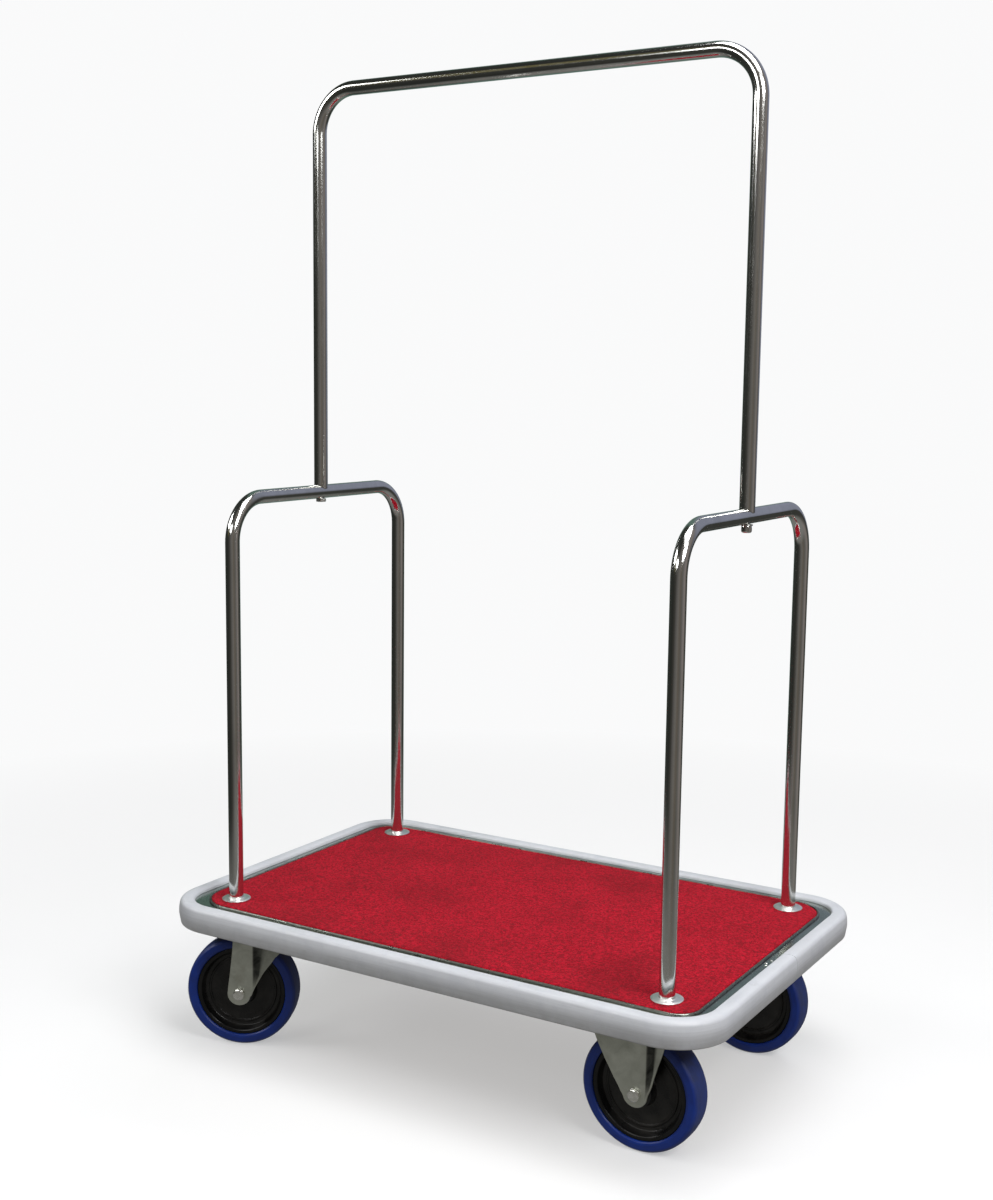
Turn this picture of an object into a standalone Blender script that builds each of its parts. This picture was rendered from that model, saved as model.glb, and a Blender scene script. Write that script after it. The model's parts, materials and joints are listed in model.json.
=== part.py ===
"""Hotel luggage cart.

A carpeted platform edged with a soft bumper, a side hoop across each end, a tall garment hoop
that stands on the two side hoops, two fixed casters at the right end and two swivel casters at
the left end. Metres, +Z up, origin on the floor under the middle of the platform. +X is the
cart's length and -Y is its front. Left is -X and right is +X.
"""

import math

import bmesh
import bpy
from mathutils import Matrix, Vector

# Clearance between pieces that touch, and how far a cutter runs past what it cuts
GAP = 0.0003
OVERRUN = 0.01

# Sides of the round pieces; a hole has more sides than what passes through it
SMALL_SIDES = 16
FORK_END_STEPS = 8
POST_HOLE_SIDES = 20
WHEEL_SIDES = 28

# Platform
DECK_LENGTH = 1.063
DECK_WIDTH = 0.687
DECK_CORNER_RADIUS = 0.095
CARPET_TOP = 0.265
CARPET_THICKNESS = 0.0047
CARPET_MARGIN = 0.050
CARPET_CORNER_RADIUS = 0.035
TRIM_WIDTH = 0.004
TRIM_HEIGHT = 0.0035
SHEET_THICKNESS = 0.0012
BOARD_THICKNESS = 0.021
BUMPER_TOP = 0.268
BUMPER_BOTTOM = 0.2235
BUMPER_LIP = 0.029
BUMPER_WALL = 0.0118
BUMPER_UNDERLIP = 0.024
CORNER_STEPS = 6

# Underframe
RAIL_LENGTH = 0.92
RAIL_WIDTH = 0.030
RAIL_HEIGHT = 0.012
RAIL_Y = 0.100
CROSSMEMBER_X = 0.21
RAIL_BEVEL = 0.0015

# Hoops, all of one tube
TUBE_RADIUS = 0.0127
TUBE_WALL = 0.0015
TUBE_SIDES = 12
BEND_RADIUS = 0.076
BEND_STEPS = 6
POST_X = 0.425
POST_Y = 0.2505
SIDE_HOOP_TOP = 0.9814
TALL_HOOP_TOP = 1.7025
COPE_RISE = 0.006

# Post fixings
SOCKET_DEPTH = 0.009
COUNTERBORE_DEPTH = 0.007
COUNTERBORE_RADIUS = 0.013
BOLT_RADIUS = 0.004
BOLT_HOLE_RADIUS = BOLT_RADIUS + GAP
PLUG_LENGTH = 0.030
PLUG_CHAMFER = 0.001
BOLT_TIP_INSET = 0.004
POST_BOLT_HEAD_RADIUS = 0.009
POST_BOLT_HEAD_HEIGHT = 0.006
POST_WASHER_THICKNESS = 0.002
WASHER_RADIUS = 0.0100
WASHER_THICKNESS = 0.002
CAP_NUT_RADIUS = 0.0085
CAP_NUT_HEIGHT = 0.0112
CAP_NUT_DEPTH = 0.0085
FLANGE_RADIUS = 0.0255
FLANGE_EDGE = 0.001
FLANGE_HEIGHT = 0.0035

# Casters
WHEEL_RADIUS = 0.100
BEARING_PROUD = 0.0015
BEARING_CHAMFER = 0.004
TREAD_WIDTH = 0.049
TREAD_THICKNESS = 0.017
HUB_RIM_WIDTH = 0.042
HUB_BOSS_WIDTH = 0.057
HUB_BOSS_RADIUS = 0.024
BEARING_RADIUS = 0.015
AXLE_RADIUS = 0.005
CASTER_PLATE = (0.135, 0.105, 0.004)
FIXED_CASTER_X = 0.376
FIXED_CASTER_Y = 0.2185
SWIVEL_CASTER_X = -0.366
SWIVEL_CASTER_Y = 0.2235
SWIVEL_TRAIL = 0.052
FRONT_SWIVEL_HEADING = math.radians(205)
BACK_SWIVEL_HEADING = math.radians(166)
FORK_SPREAD = 0.034
FORK_THICKNESS = 0.0035
FORK_END_RADIUS = 0.021
FIXED_PLATE_OFFSET = -0.018
FIXED_FORK_SHOULDER = 0.207
SWIVEL_FORK_FRONT = -0.050
SWIVEL_FORK_BACK = 0.058
SWIVEL_CROWN_TOP = 0.2215
RACE_RADIUS = 0.034
KINGPIN_RADIUS = 0.006
HEX_HEAD_RADIUS = 0.0098
HEX_HEAD_HEIGHT = 0.0065
NUT_HEIGHT = 0.008
AXLE_OVERHANG = 0.012

# Levels that follow from the sizes above
SHEET_TOP = CARPET_TOP - CARPET_THICKNESS - GAP
BOARD_TOP = SHEET_TOP - SHEET_THICKNESS - GAP
BOARD_BOTTOM = BOARD_TOP - BOARD_THICKNESS
PLATE_TOP = BOARD_BOTTOM - GAP
PLATE_BOTTOM = PLATE_TOP - CASTER_PLATE[2]
LEG_BOTTOM = BOARD_TOP - SOCKET_DEPTH + GAP
PLUG_RADIUS = TUBE_RADIUS * math.cos(math.pi / TUBE_SIDES) - TUBE_WALL - 2 * GAP
SIDE_BAR_UNDERSIDE = SIDE_HOOP_TOP - TUBE_RADIUS

ENDS = (("left", -1), ("right", 1))
CORNERS = [
    (f"{side}_{end}", sx, sy) for side, sy in (("front", -1), ("back", 1)) for end, sx in ENDS
]


# ---------------------------------------------------------------- scene and materials


def clear_scene():
    for obj in list(bpy.data.objects):
        bpy.data.objects.remove(obj, do_unlink=True)


def new_collection(name):
    collection = bpy.data.collections.new(name)
    bpy.context.scene.collection.children.link(collection)
    return collection


def new_material(name, color, roughness, metallic=0.0):
    material = bpy.data.materials.new(name)
    material.use_nodes = True
    shader = material.node_tree.nodes["Principled BSDF"]
    shader.inputs["Base Color"].default_value = (*color, 1.0)
    shader.inputs["Roughness"].default_value = roughness
    shader.inputs["Metallic"].default_value = metallic
    material.diffuse_color = (*color, 1.0)
    return material


clear_scene()
CART = new_collection("hotel_luggage_cart")
CUTTERS = new_collection("cutters")

MATERIALS = {
    "chrome": new_material("chrome", (0.62, 0.62, 0.62), 0.08, 1.0),
    "polished_steel": new_material("polished_steel", (0.50, 0.52, 0.50), 0.15, 1.0),
    "zinc_steel": new_material("zinc_steel", (0.32, 0.34, 0.32), 0.40, 1.0),
    "carpet": new_material("carpet", (0.42, 0.015, 0.03), 0.95),
    "bumper": new_material("bumper", (0.60, 0.61, 0.63), 0.45),
    "plywood": new_material("plywood", (0.45, 0.30, 0.16), 0.70),
    "black_hub": new_material("black_hub", (0.012, 0.012, 0.014), 0.30),
    "blue_tread": new_material("blue_tread", (0.02, 0.03, 0.25), 0.55),
}


# ---------------------------------------------------------------- shape helpers


def add_object(name, data, slot, parent=None):
    """Link an object with its material; with no slot it is a hidden cutter."""
    obj = bpy.data.objects.new(name, data)
    if slot is None:
        CUTTERS.objects.link(obj)
        obj.hide_render = True
        obj.display_type = "WIRE"
    else:
        CART.objects.link(obj)
        data.materials.append(MATERIALS[slot])
    obj.parent = parent
    return obj


def add_pivot(name, location, parent=None, heading=0.0):
    """An empty on a joint's axis, turned about Z by heading."""
    pivot = bpy.data.objects.new(name, None)
    CART.objects.link(pivot)
    pivot.location = location
    pivot.rotation_euler = (0, 0, heading)
    pivot.parent = parent
    return pivot


def smooth(mesh, angle=40):
    mesh.shade_smooth()
    mesh.set_sharp_from_angle(angle=math.radians(angle))


def rounded_rectangle(half_x, half_y, radius, steps=CORNER_STEPS):
    points = []
    for quarter, (sx, sy) in enumerate(((1, 1), (-1, 1), (-1, -1), (1, -1))):
        for step in range(steps + 1):
            angle = math.pi / 2 * (quarter + step / steps)
            x = sx * (half_x - radius) + radius * math.cos(angle)
            y = sy * (half_y - radius) + radius * math.sin(angle)
            points.append((x, y))
    return points


def circle(center, radius, steps=POST_HOLE_SIDES):
    turns = [2 * math.pi * step / steps for step in range(steps)]
    return [(center[0] + radius * math.cos(a), center[1] + radius * math.sin(a)) for a in turns]


def curve_data(name, outlines, dimensions="2D", closed=True):
    curve = bpy.data.curves.new(name, "CURVE")
    curve.dimensions = dimensions
    for outline in outlines:
        spline = curve.splines.new("POLY")
        spline.points.add(len(outline) - 1)
        for point, place in zip(spline.points, outline):
            point.co = (*place, 1.0) if len(place) == 3 else (*place, 0.0, 1.0)
        spline.use_cyclic_u = closed
    return curve


def as_mesh(obj):
    """The same object with its curve made a closed mesh, ready for a Boolean."""
    bpy.context.view_layer.update()
    evaluated = obj.evaluated_get(bpy.context.evaluated_depsgraph_get())
    mesh = bpy.data.meshes.new_from_object(evaluated)
    build = bmesh.new()
    build.from_mesh(mesh)
    bmesh.ops.remove_doubles(build, verts=build.verts, dist=1e-6)
    build.to_mesh(mesh)
    build.free()
    solid = bpy.data.objects.new(obj.name, mesh)
    for collection in obj.users_collection:
        collection.objects.link(solid)
    solid.parent = obj.parent
    solid.matrix_world = obj.matrix_world
    solid.hide_render = obj.hide_render
    solid.display_type = obj.display_type
    name = obj.name
    bpy.data.objects.remove(obj, do_unlink=True)
    solid.name = name
    return solid


def flat_plate(name, outlines, bottom, thickness, slot, parent=None):
    """A level plate: the first outline is its edge and the others are holes."""
    curve = curve_data(name, outlines)
    curve.fill_mode = "BOTH"
    curve.extrude = thickness / 2
    obj = add_object(name, curve, slot, parent)
    obj.location.z = bottom + thickness / 2
    return obj


def box(name, size, center, slot, parent=None, bevel=0.0):
    mesh = bpy.data.meshes.new(name)
    build = bmesh.new()
    bmesh.ops.create_cube(build, size=1.0, matrix=Matrix.Diagonal((*size, 1.0)))
    build.to_mesh(mesh)
    build.free()
    obj = add_object(name, mesh, slot, parent)
    obj.location = center
    if bevel:
        edge = obj.modifiers.new("Bevel", "BEVEL")
        edge.width = bevel
        edge.segments = 1
    return obj


def cylinder(
    name, radius, length, center, slot, parent=None, sides=SMALL_SIDES, along="Z"
):
    mesh = bpy.data.meshes.new(name)
    build = bmesh.new()
    turn = {"X": Matrix.Rotation(math.pi / 2, 4, "Y"), "Y": Matrix.Rotation(math.pi / 2, 4, "X")}
    bmesh.ops.create_cone(
        build,
        cap_ends=True,
        segments=sides,
        radius1=radius,
        radius2=radius,
        depth=length,
        matrix=turn.get(along, Matrix.Identity(4)),
    )
    build.to_mesh(mesh)
    build.free()
    smooth(mesh)
    obj = add_object(name, mesh, slot, parent)
    obj.location = center
    return obj


def turned(name, profile, slot, steps=SMALL_SIDES, parent=None):
    """A profile of (radius, height) points turned about Z: down the outer side, then back up.

    A profile that starts and ends on the axis is a solid; any other is closed into a ring.
    """
    mesh = bpy.data.meshes.new(name)
    on_axis = profile[0][0] == 0
    count = len(profile)
    edges = [(i, (i + 1) % count) for i in range(count - 1 if on_axis else count)]
    mesh.from_pydata([(r, 0, z) for r, z in profile], edges, [])
    obj = add_object(name, mesh, slot, parent)
    screw = obj.modifiers.new("Screw", "SCREW")
    screw.steps = steps
    screw.render_steps = steps
    screw.use_merge_vertices = True
    screw.merge_threshold = 1e-5
    screw.use_smooth_shade = True
    return obj


def lay_on_axle(obj):
    """Turn a piece whose own axis is Z so that its axis is the axle, with its top at +Y."""
    obj.rotation_euler = (-math.pi / 2, 0, 0)
    return obj


def cut(obj, cutter, operation="DIFFERENCE"):
    boolean = obj.modifiers.new("Boolean", "BOOLEAN")
    boolean.operation = operation
    boolean.solver = "EXACT"
    boolean.object = cutter
    return obj


# ---------------------------------------------------------------- platform


def deck_outline(inset):
    return rounded_rectangle(
        DECK_LENGTH / 2 - inset, DECK_WIDTH / 2 - inset, DECK_CORNER_RADIUS - inset
    )


def carpet_outline(grow=0.0):
    return rounded_rectangle(
        DECK_LENGTH / 2 - CARPET_MARGIN + grow,
        DECK_WIDTH / 2 - CARPET_MARGIN + grow,
        CARPET_CORNER_RADIUS + grow,
    )


def post_holes():
    places = [(sx * POST_X, sy * POST_Y) for _, sx, sy in CORNERS]
    return [circle(place, TUBE_RADIUS + GAP) for place in places]


def make_board():
    """Plywood board with a socket for each post and a counterbore for its bolt."""
    board = as_mesh(
        flat_plate(
            "deck_board", [deck_outline(BUMPER_WALL + GAP)], BOARD_BOTTOM, BOARD_THICKNESS, "plywood"
        )
    )
    for name, sx, sy in CORNERS:
        profile = [
            (0, BOARD_TOP + OVERRUN),
            (TUBE_RADIUS + GAP, BOARD_TOP + OVERRUN),
            (TUBE_RADIUS + GAP, BOARD_TOP - SOCKET_DEPTH),
            (BOLT_HOLE_RADIUS, BOARD_TOP - SOCKET_DEPTH),
            (BOLT_HOLE_RADIUS, BOARD_BOTTOM + COUNTERBORE_DEPTH),
            (COUNTERBORE_RADIUS, BOARD_BOTTOM + COUNTERBORE_DEPTH),
            (COUNTERBORE_RADIUS, BOARD_BOTTOM - OVERRUN),
            (0, BOARD_BOTTOM - OVERRUN),
        ]
        socket = turned(f"socket_cutter_{name}", profile, None, POST_HOLE_SIDES)
        socket.location = (sx * POST_X, sy * POST_Y, 0)
        cut(board, socket)


def make_coverings():
    """Polished sheet over the board, carpet on the sheet, and a bead along the carpet's edge."""
    sheet_bottom = SHEET_TOP - SHEET_THICKNESS
    sheet_edge = deck_outline(BUMPER_WALL + GAP)
    flat_plate(
        "deck_sheet", [sheet_edge, *post_holes()], sheet_bottom, SHEET_THICKNESS, "polished_steel"
    )
    carpet_bottom = CARPET_TOP - CARPET_THICKNESS
    flat_plate(
        "carpet", [carpet_outline(), *post_holes()], carpet_bottom, CARPET_THICKNESS, "carpet"
    )
    bead = [carpet_outline(GAP + TRIM_WIDTH), carpet_outline(GAP)]
    flat_plate("carpet_trim", bead, SHEET_TOP + GAP, TRIM_HEIGHT, "polished_steel")


def bumper_section():
    """(inset, height) points of the extrusion: it laps over the sheet and hooks under the board."""
    lip_bottom = SHEET_TOP + GAP
    hook_top = BOARD_BOTTOM - GAP
    return [
        (0.0030, BUMPER_BOTTOM),
        (0.0000, BUMPER_BOTTOM + 0.005),
        (0.0000, BUMPER_TOP - 0.009),
        (0.0020, BUMPER_TOP - 0.003),
        (0.0070, BUMPER_TOP),
        (BUMPER_LIP - 0.006, BUMPER_TOP),
        (BUMPER_LIP - 0.001, BUMPER_TOP - 0.002),
        (BUMPER_LIP, lip_bottom),
        (BUMPER_WALL, lip_bottom),
        (BUMPER_WALL, hook_top),
        (BUMPER_UNDERLIP, hook_top),
        (BUMPER_UNDERLIP, hook_top - 0.004),
        (0.0100, hook_top - 0.004),
        (0.0080, BUMPER_BOTTOM),
    ]


def make_bumper():
    section = curve_data("bumper_section", [bumper_section()])
    section_obj = add_object("bumper_section", section, None)
    path = curve_data("bumper", [deck_outline(0)])
    path.bevel_mode = "OBJECT"
    path.bevel_object = section_obj
    add_object("bumper", path, "bumper")


def make_underframe():
    """Two rails along the board's underside, with two crossmembers between them."""
    center_z = BOARD_BOTTOM - GAP - RAIL_HEIGHT / 2
    for side, sy in (("front", -1), ("back", 1)):
        size = (RAIL_LENGTH, RAIL_WIDTH, RAIL_HEIGHT)
        box(f"rail_{side}", size, (0, sy * RAIL_Y, center_z), "zinc_steel", bevel=RAIL_BEVEL)
    between = 2 * RAIL_Y - RAIL_WIDTH - 2 * GAP
    for end, sx in ENDS:
        size = (RAIL_WIDTH, between, RAIL_HEIGHT)
        center = (sx * CROSSMEMBER_X, 0, center_z)
        box(f"crossmember_{end}", size, center, "zinc_steel", bevel=RAIL_BEVEL)


# ---------------------------------------------------------------- hoops and their fixings


def hoop_path(half_span, bottom, top):
    """Points of an upside-down U in its own plane: up the left leg, over, down the right leg."""
    points = [(-half_span, bottom)]
    for sign, start in ((-1, math.pi), (1, math.pi / 2)):
        for step in range(BEND_STEPS + 1):
            angle = start - math.pi / 2 * step / BEND_STEPS
            across = sign * (half_span - BEND_RADIUS) + BEND_RADIUS * math.cos(angle)
            points.append((across, top - BEND_RADIUS + BEND_RADIUS * math.sin(angle)))
    points.append((half_span, bottom))
    return points


def hollow_tube(name, points):
    curve = curve_data(name, [points], dimensions="3D", closed=False)
    curve.bevel_depth = TUBE_RADIUS
    curve.bevel_resolution = TUBE_SIDES // 2 - 2
    tube = as_mesh(add_object(name, curve, "chrome"))
    smooth(tube.data, 60)
    wall = tube.modifiers.new("Solidify", "SOLIDIFY")
    wall.thickness = TUBE_WALL
    wall.offset = -1
    return tube


def make_side_hoops():
    for end, sx in ENDS:
        path = hoop_path(POST_Y, LEG_BOTTOM, SIDE_HOOP_TOP)
        hoop = hollow_tube(f"side_hoop_{end}", [(sx * POST_X, y, z) for y, z in path])
        center = (sx * POST_X, 0, SIDE_HOOP_TOP)
        hole = cylinder(f"bolt_hole_cutter_{end}", BOLT_HOLE_RADIUS, 0.04, center, None)
        cut(hoop, hole)


def make_tall_hoop():
    """Its legs are coped over the side hoops' top bars."""
    path = hoop_path(POST_X, SIDE_HOOP_TOP + COPE_RISE, TALL_HOOP_TOP)
    hoop = hollow_tube("tall_hoop", [(x, 0, z) for x, z in path])
    for end, sx in ENDS:
        center = (sx * POST_X, 0, SIDE_HOOP_TOP)
        radius = TUBE_RADIUS + GAP
        bar = cylinder(
            f"cope_cutter_{end}", radius, 0.06, center, None, sides=POST_HOLE_SIDES, along="Y"
        )
        cut(hoop, bar)


def plug_profile(bottom):
    """A turned plug with a through bore, which closes the end of a leg."""
    top = bottom + PLUG_LENGTH
    return [
        (BOLT_HOLE_RADIUS, top),
        (PLUG_RADIUS - PLUG_CHAMFER, top),
        (PLUG_RADIUS, top - PLUG_CHAMFER),
        (PLUG_RADIUS, bottom),
        (BOLT_HOLE_RADIUS, bottom),
    ]


def make_post_fixings():
    """A flange on the carpet, a plug in the leg's end and a bolt up from under the board."""
    flange_bottom = CARPET_TOP + GAP
    hole = TUBE_RADIUS + GAP
    flange = [
        (hole, flange_bottom + FLANGE_HEIGHT),
        (hole + 0.002, flange_bottom + FLANGE_HEIGHT),
        (FLANGE_RADIUS - 0.004, flange_bottom + 0.6 * FLANGE_HEIGHT),
        (FLANGE_RADIUS, flange_bottom + FLANGE_EDGE),
        (FLANGE_RADIUS, flange_bottom),
        (hole, flange_bottom),
    ]
    head_top = BOARD_BOTTOM + COUNTERBORE_DEPTH - GAP
    washer_radius = COUNTERBORE_RADIUS - 0.001
    washer_bottom = head_top - POST_WASHER_THICKNESS
    bolt = [
        (0, LEG_BOTTOM + PLUG_LENGTH - BOLT_TIP_INSET),
        (BOLT_RADIUS, LEG_BOTTOM + PLUG_LENGTH - BOLT_TIP_INSET),
        (BOLT_RADIUS, head_top),
        (washer_radius, head_top),
        (washer_radius, washer_bottom),
        (POST_BOLT_HEAD_RADIUS, washer_bottom - GAP),
        (POST_BOLT_HEAD_RADIUS, head_top - POST_BOLT_HEAD_HEIGHT),
        (0, head_top - POST_BOLT_HEAD_HEIGHT),
    ]
    for name, sx, sy in CORNERS:
        for piece, profile, slot, steps in (
            ("post_flange", flange, "chrome", POST_HOLE_SIDES),
            ("post_plug", plug_profile(LEG_BOTTOM), "zinc_steel", SMALL_SIDES),
            ("post_bolt", bolt, "zinc_steel", SMALL_SIDES),
        ):
            obj = turned(f"{piece}_{name}", profile, slot, steps)
            obj.location = (sx * POST_X, sy * POST_Y, 0)


def make_tall_hoop_fixings():
    """Left: a hex bolt into a bored plug. Right: a stud on the plug, with a washer and cap nut."""
    plug_bottom = SIDE_HOOP_TOP + TUBE_RADIUS + 0.0005
    under = SIDE_BAR_UNDERSIDE - GAP
    left = turned("tall_hoop_plug_left", plug_profile(plug_bottom), "zinc_steel")
    left.location.x = -POST_X

    head = cylinder(
        "tall_hoop_bolt",
        HEX_HEAD_RADIUS,
        HEX_HEAD_HEIGHT,
        (-POST_X, 0, under - HEX_HEAD_HEIGHT / 2),
        "zinc_steel",
        sides=6,
    )
    shank_top = plug_bottom + PLUG_LENGTH - BOLT_TIP_INSET
    shank_bottom = under - HEX_HEAD_HEIGHT / 2
    shank_middle = (-POST_X, 0, (shank_top + shank_bottom) / 2)
    shank_length = shank_top - shank_bottom
    shank = cylinder("bolt_shank_cutter", BOLT_RADIUS, shank_length, shank_middle, None)
    cut(head, shank, "UNION")

    nut_top = under - WASHER_THICKNESS - GAP
    stud_end = nut_top - CAP_NUT_DEPTH + GAP
    stud_plug = [
        (0, plug_bottom + PLUG_LENGTH),
        (PLUG_RADIUS - PLUG_CHAMFER, plug_bottom + PLUG_LENGTH),
        (PLUG_RADIUS, plug_bottom + PLUG_LENGTH - PLUG_CHAMFER),
        (PLUG_RADIUS, plug_bottom),
        (BOLT_RADIUS, plug_bottom),
        (BOLT_RADIUS, stud_end),
        (0, stud_end),
    ]
    washer = [
        (BOLT_HOLE_RADIUS, under),
        (WASHER_RADIUS, under),
        (WASHER_RADIUS, under - WASHER_THICKNESS),
        (BOLT_HOLE_RADIUS, under - WASHER_THICKNESS),
    ]
    cap_nut = [
        (0, nut_top - CAP_NUT_DEPTH),
        (BOLT_HOLE_RADIUS, nut_top - CAP_NUT_DEPTH),
        (BOLT_HOLE_RADIUS, nut_top),
        (CAP_NUT_RADIUS, nut_top),
        (CAP_NUT_RADIUS, nut_top - 0.58 * CAP_NUT_HEIGHT),
        (0.82 * CAP_NUT_RADIUS, nut_top - 0.85 * CAP_NUT_HEIGHT),
        (0.41 * CAP_NUT_RADIUS, nut_top - 0.98 * CAP_NUT_HEIGHT),
        (0, nut_top - CAP_NUT_HEIGHT),
    ]
    turned("tall_hoop_plug_right", stud_plug, "zinc_steel").location.x = POST_X
    turned("tall_hoop_washer", washer, "chrome").location.x = POST_X
    turned("tall_hoop_cap_nut", cap_nut, "chrome").location.x = POST_X


# ---------------------------------------------------------------- casters


def wheel_pieces(corner, axle):
    """Hub, tread and roller bearing on the wheel's own axle pivot."""
    rim = WHEEL_RADIUS - TREAD_THICKNESS
    rim_half = HUB_RIM_WIDTH / 2
    boss_half = HUB_BOSS_WIDTH / 2
    bore = BEARING_RADIUS + GAP
    upper_hub = [
        (bore, boss_half),
        (HUB_BOSS_RADIUS, boss_half),
        (HUB_BOSS_RADIUS + 0.003, 0.008),
        (rim - 0.015, 0.006),
        (rim - 0.010, rim_half),
        (rim, rim_half),
    ]
    upper_tread = [
        (rim + GAP, TREAD_WIDTH / 2),
        (rim + 0.009, TREAD_WIDTH / 2),
        (WHEEL_RADIUS - 0.002, TREAD_WIDTH / 2 - 0.005),
        (WHEEL_RADIUS, TREAD_WIDTH / 2 - 0.012),
    ]
    bearing = [
        (AXLE_RADIUS + GAP, boss_half + BEARING_PROUD),
        (BEARING_RADIUS - BEARING_CHAMFER, boss_half + BEARING_PROUD),
        (BEARING_RADIUS, boss_half - 0.002),
    ]
    for piece, upper, slot, steps in (
        ("wheel_hub", upper_hub, "black_hub", WHEEL_SIDES),
        ("wheel_tread", upper_tread, "blue_tread", WHEEL_SIDES),
        ("wheel_bearing", bearing, "zinc_steel", SMALL_SIDES),
    ):
        lower = [(r, -z) for r, z in reversed(upper)]
        lay_on_axle(turned(f"{piece}_{corner}", upper + lower, slot, steps, axle))


def axle_pieces(corner, center, side, parent):
    """A hex bolt across the fork with its head at side (+1 or -1) of Y, and a nut at the other."""
    reach = FORK_SPREAD + FORK_THICKNESS / 2 + GAP
    outward = Vector((0, side, 0))
    head_center = center + outward * (reach + HEX_HEAD_HEIGHT / 2)
    bolt = cylinder(
        f"axle_bolt_{corner}",
        HEX_HEAD_RADIUS,
        HEX_HEAD_HEIGHT,
        head_center,
        "zinc_steel",
        parent,
        sides=6,
        along="Y",
    )
    shank_length = 2 * reach + HEX_HEAD_HEIGHT / 2 + AXLE_OVERHANG
    shank_center = head_center - outward * shank_length / 2
    shank = cylinder(
        f"axle_shank_{corner}", AXLE_RADIUS, shank_length, shank_center, None, parent, 12, "Y"
    )
    cut(bolt, shank, "UNION")
    nut_center = center - outward * (reach + NUT_HEIGHT / 2)
    nut = cylinder(
        f"axle_nut_{corner}",
        HEX_HEAD_RADIUS,
        NUT_HEIGHT,
        nut_center,
        "zinc_steel",
        parent,
        sides=6,
        along="Y",
    )
    bore = cylinder(
        f"nut_bore_{corner}", AXLE_RADIUS + GAP, 0.02, nut_center, None, parent, along="Y"
    )
    cut(nut, bore)


def fork_leg(name, outline, y, slot, parent):
    """A pressed leg: an (x, z) outline stood up in the plane y."""
    curve = curve_data(name, [outline])
    curve.fill_mode = "BOTH"
    curve.extrude = FORK_THICKNESS / 2
    leg = add_object(name, curve, slot, parent)
    leg.rotation_euler = (math.pi / 2, 0, 0)
    leg.location.y = y
    return as_mesh(leg)


def leg_outline(front, back, top, shoulder, axle_x):
    """Square down to the shoulder, then tapers to a round end about the axle."""
    points = [(back, top), (front, top)]
    if shoulder < top:
        points.append((front, shoulder))
    tangents = []
    for x, turn in ((front, 1), (back, -1)):
        rise = shoulder - WHEEL_RADIUS
        run = x - axle_x
        spread = math.acos(FORK_END_RADIUS / math.hypot(run, rise))
        tangents.append(math.atan2(rise, run) + turn * spread)
    start, end = tangents[0], tangents[1] + 2 * math.pi
    for step in range(FORK_END_STEPS + 1):
        angle = start + (end - start) * step / FORK_END_STEPS
        x = axle_x + FORK_END_RADIUS * math.cos(angle)
        points.append((x, WHEEL_RADIUS + FORK_END_RADIUS * math.sin(angle)))
    if shoulder < top:
        points.append((back, shoulder))
    return points


def join_legs(crown, corner, outline, axle_x, parent):
    """Weld both legs to the crown and drill the axle hole."""
    for number, y in enumerate((-FORK_SPREAD, FORK_SPREAD)):
        cut(crown, fork_leg(f"fork_leg_{corner}_{number}", outline, y, None, parent), "UNION")
    center = (axle_x, 0, WHEEL_RADIUS)
    hole = cylinder(
        f"axle_hole_{corner}", AXLE_RADIUS + GAP, 0.1, center, None, parent, along="Y"
    )
    cut(crown, hole)


def make_fixed_caster(corner, sy):
    """Plate and fork are one pressing, bolted under the board; it reaches further to the left."""
    place = (FIXED_CASTER_X, sy * FIXED_CASTER_Y, 0)
    base = add_pivot(f"caster_base_{corner}", place)
    length, _, thickness = CASTER_PLATE
    center = (FIXED_PLATE_OFFSET, 0, PLATE_BOTTOM + thickness / 2)
    fork = box(f"fork_{corner}", CASTER_PLATE, center, "zinc_steel", base)
    front = FIXED_PLATE_OFFSET - length / 2
    back = FIXED_PLATE_OFFSET + length / 2
    outline = leg_outline(front, back, PLATE_BOTTOM + 0.001, FIXED_FORK_SHOULDER, 0)
    join_legs(fork, corner, outline, 0, base)
    axle = add_pivot(f"wheel_axle_{corner}", (0, 0, WHEEL_RADIUS), base)
    axle_pieces(corner, Vector((0, 0, WHEEL_RADIUS)), sy, base)
    wheel_pieces(corner, axle)


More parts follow.
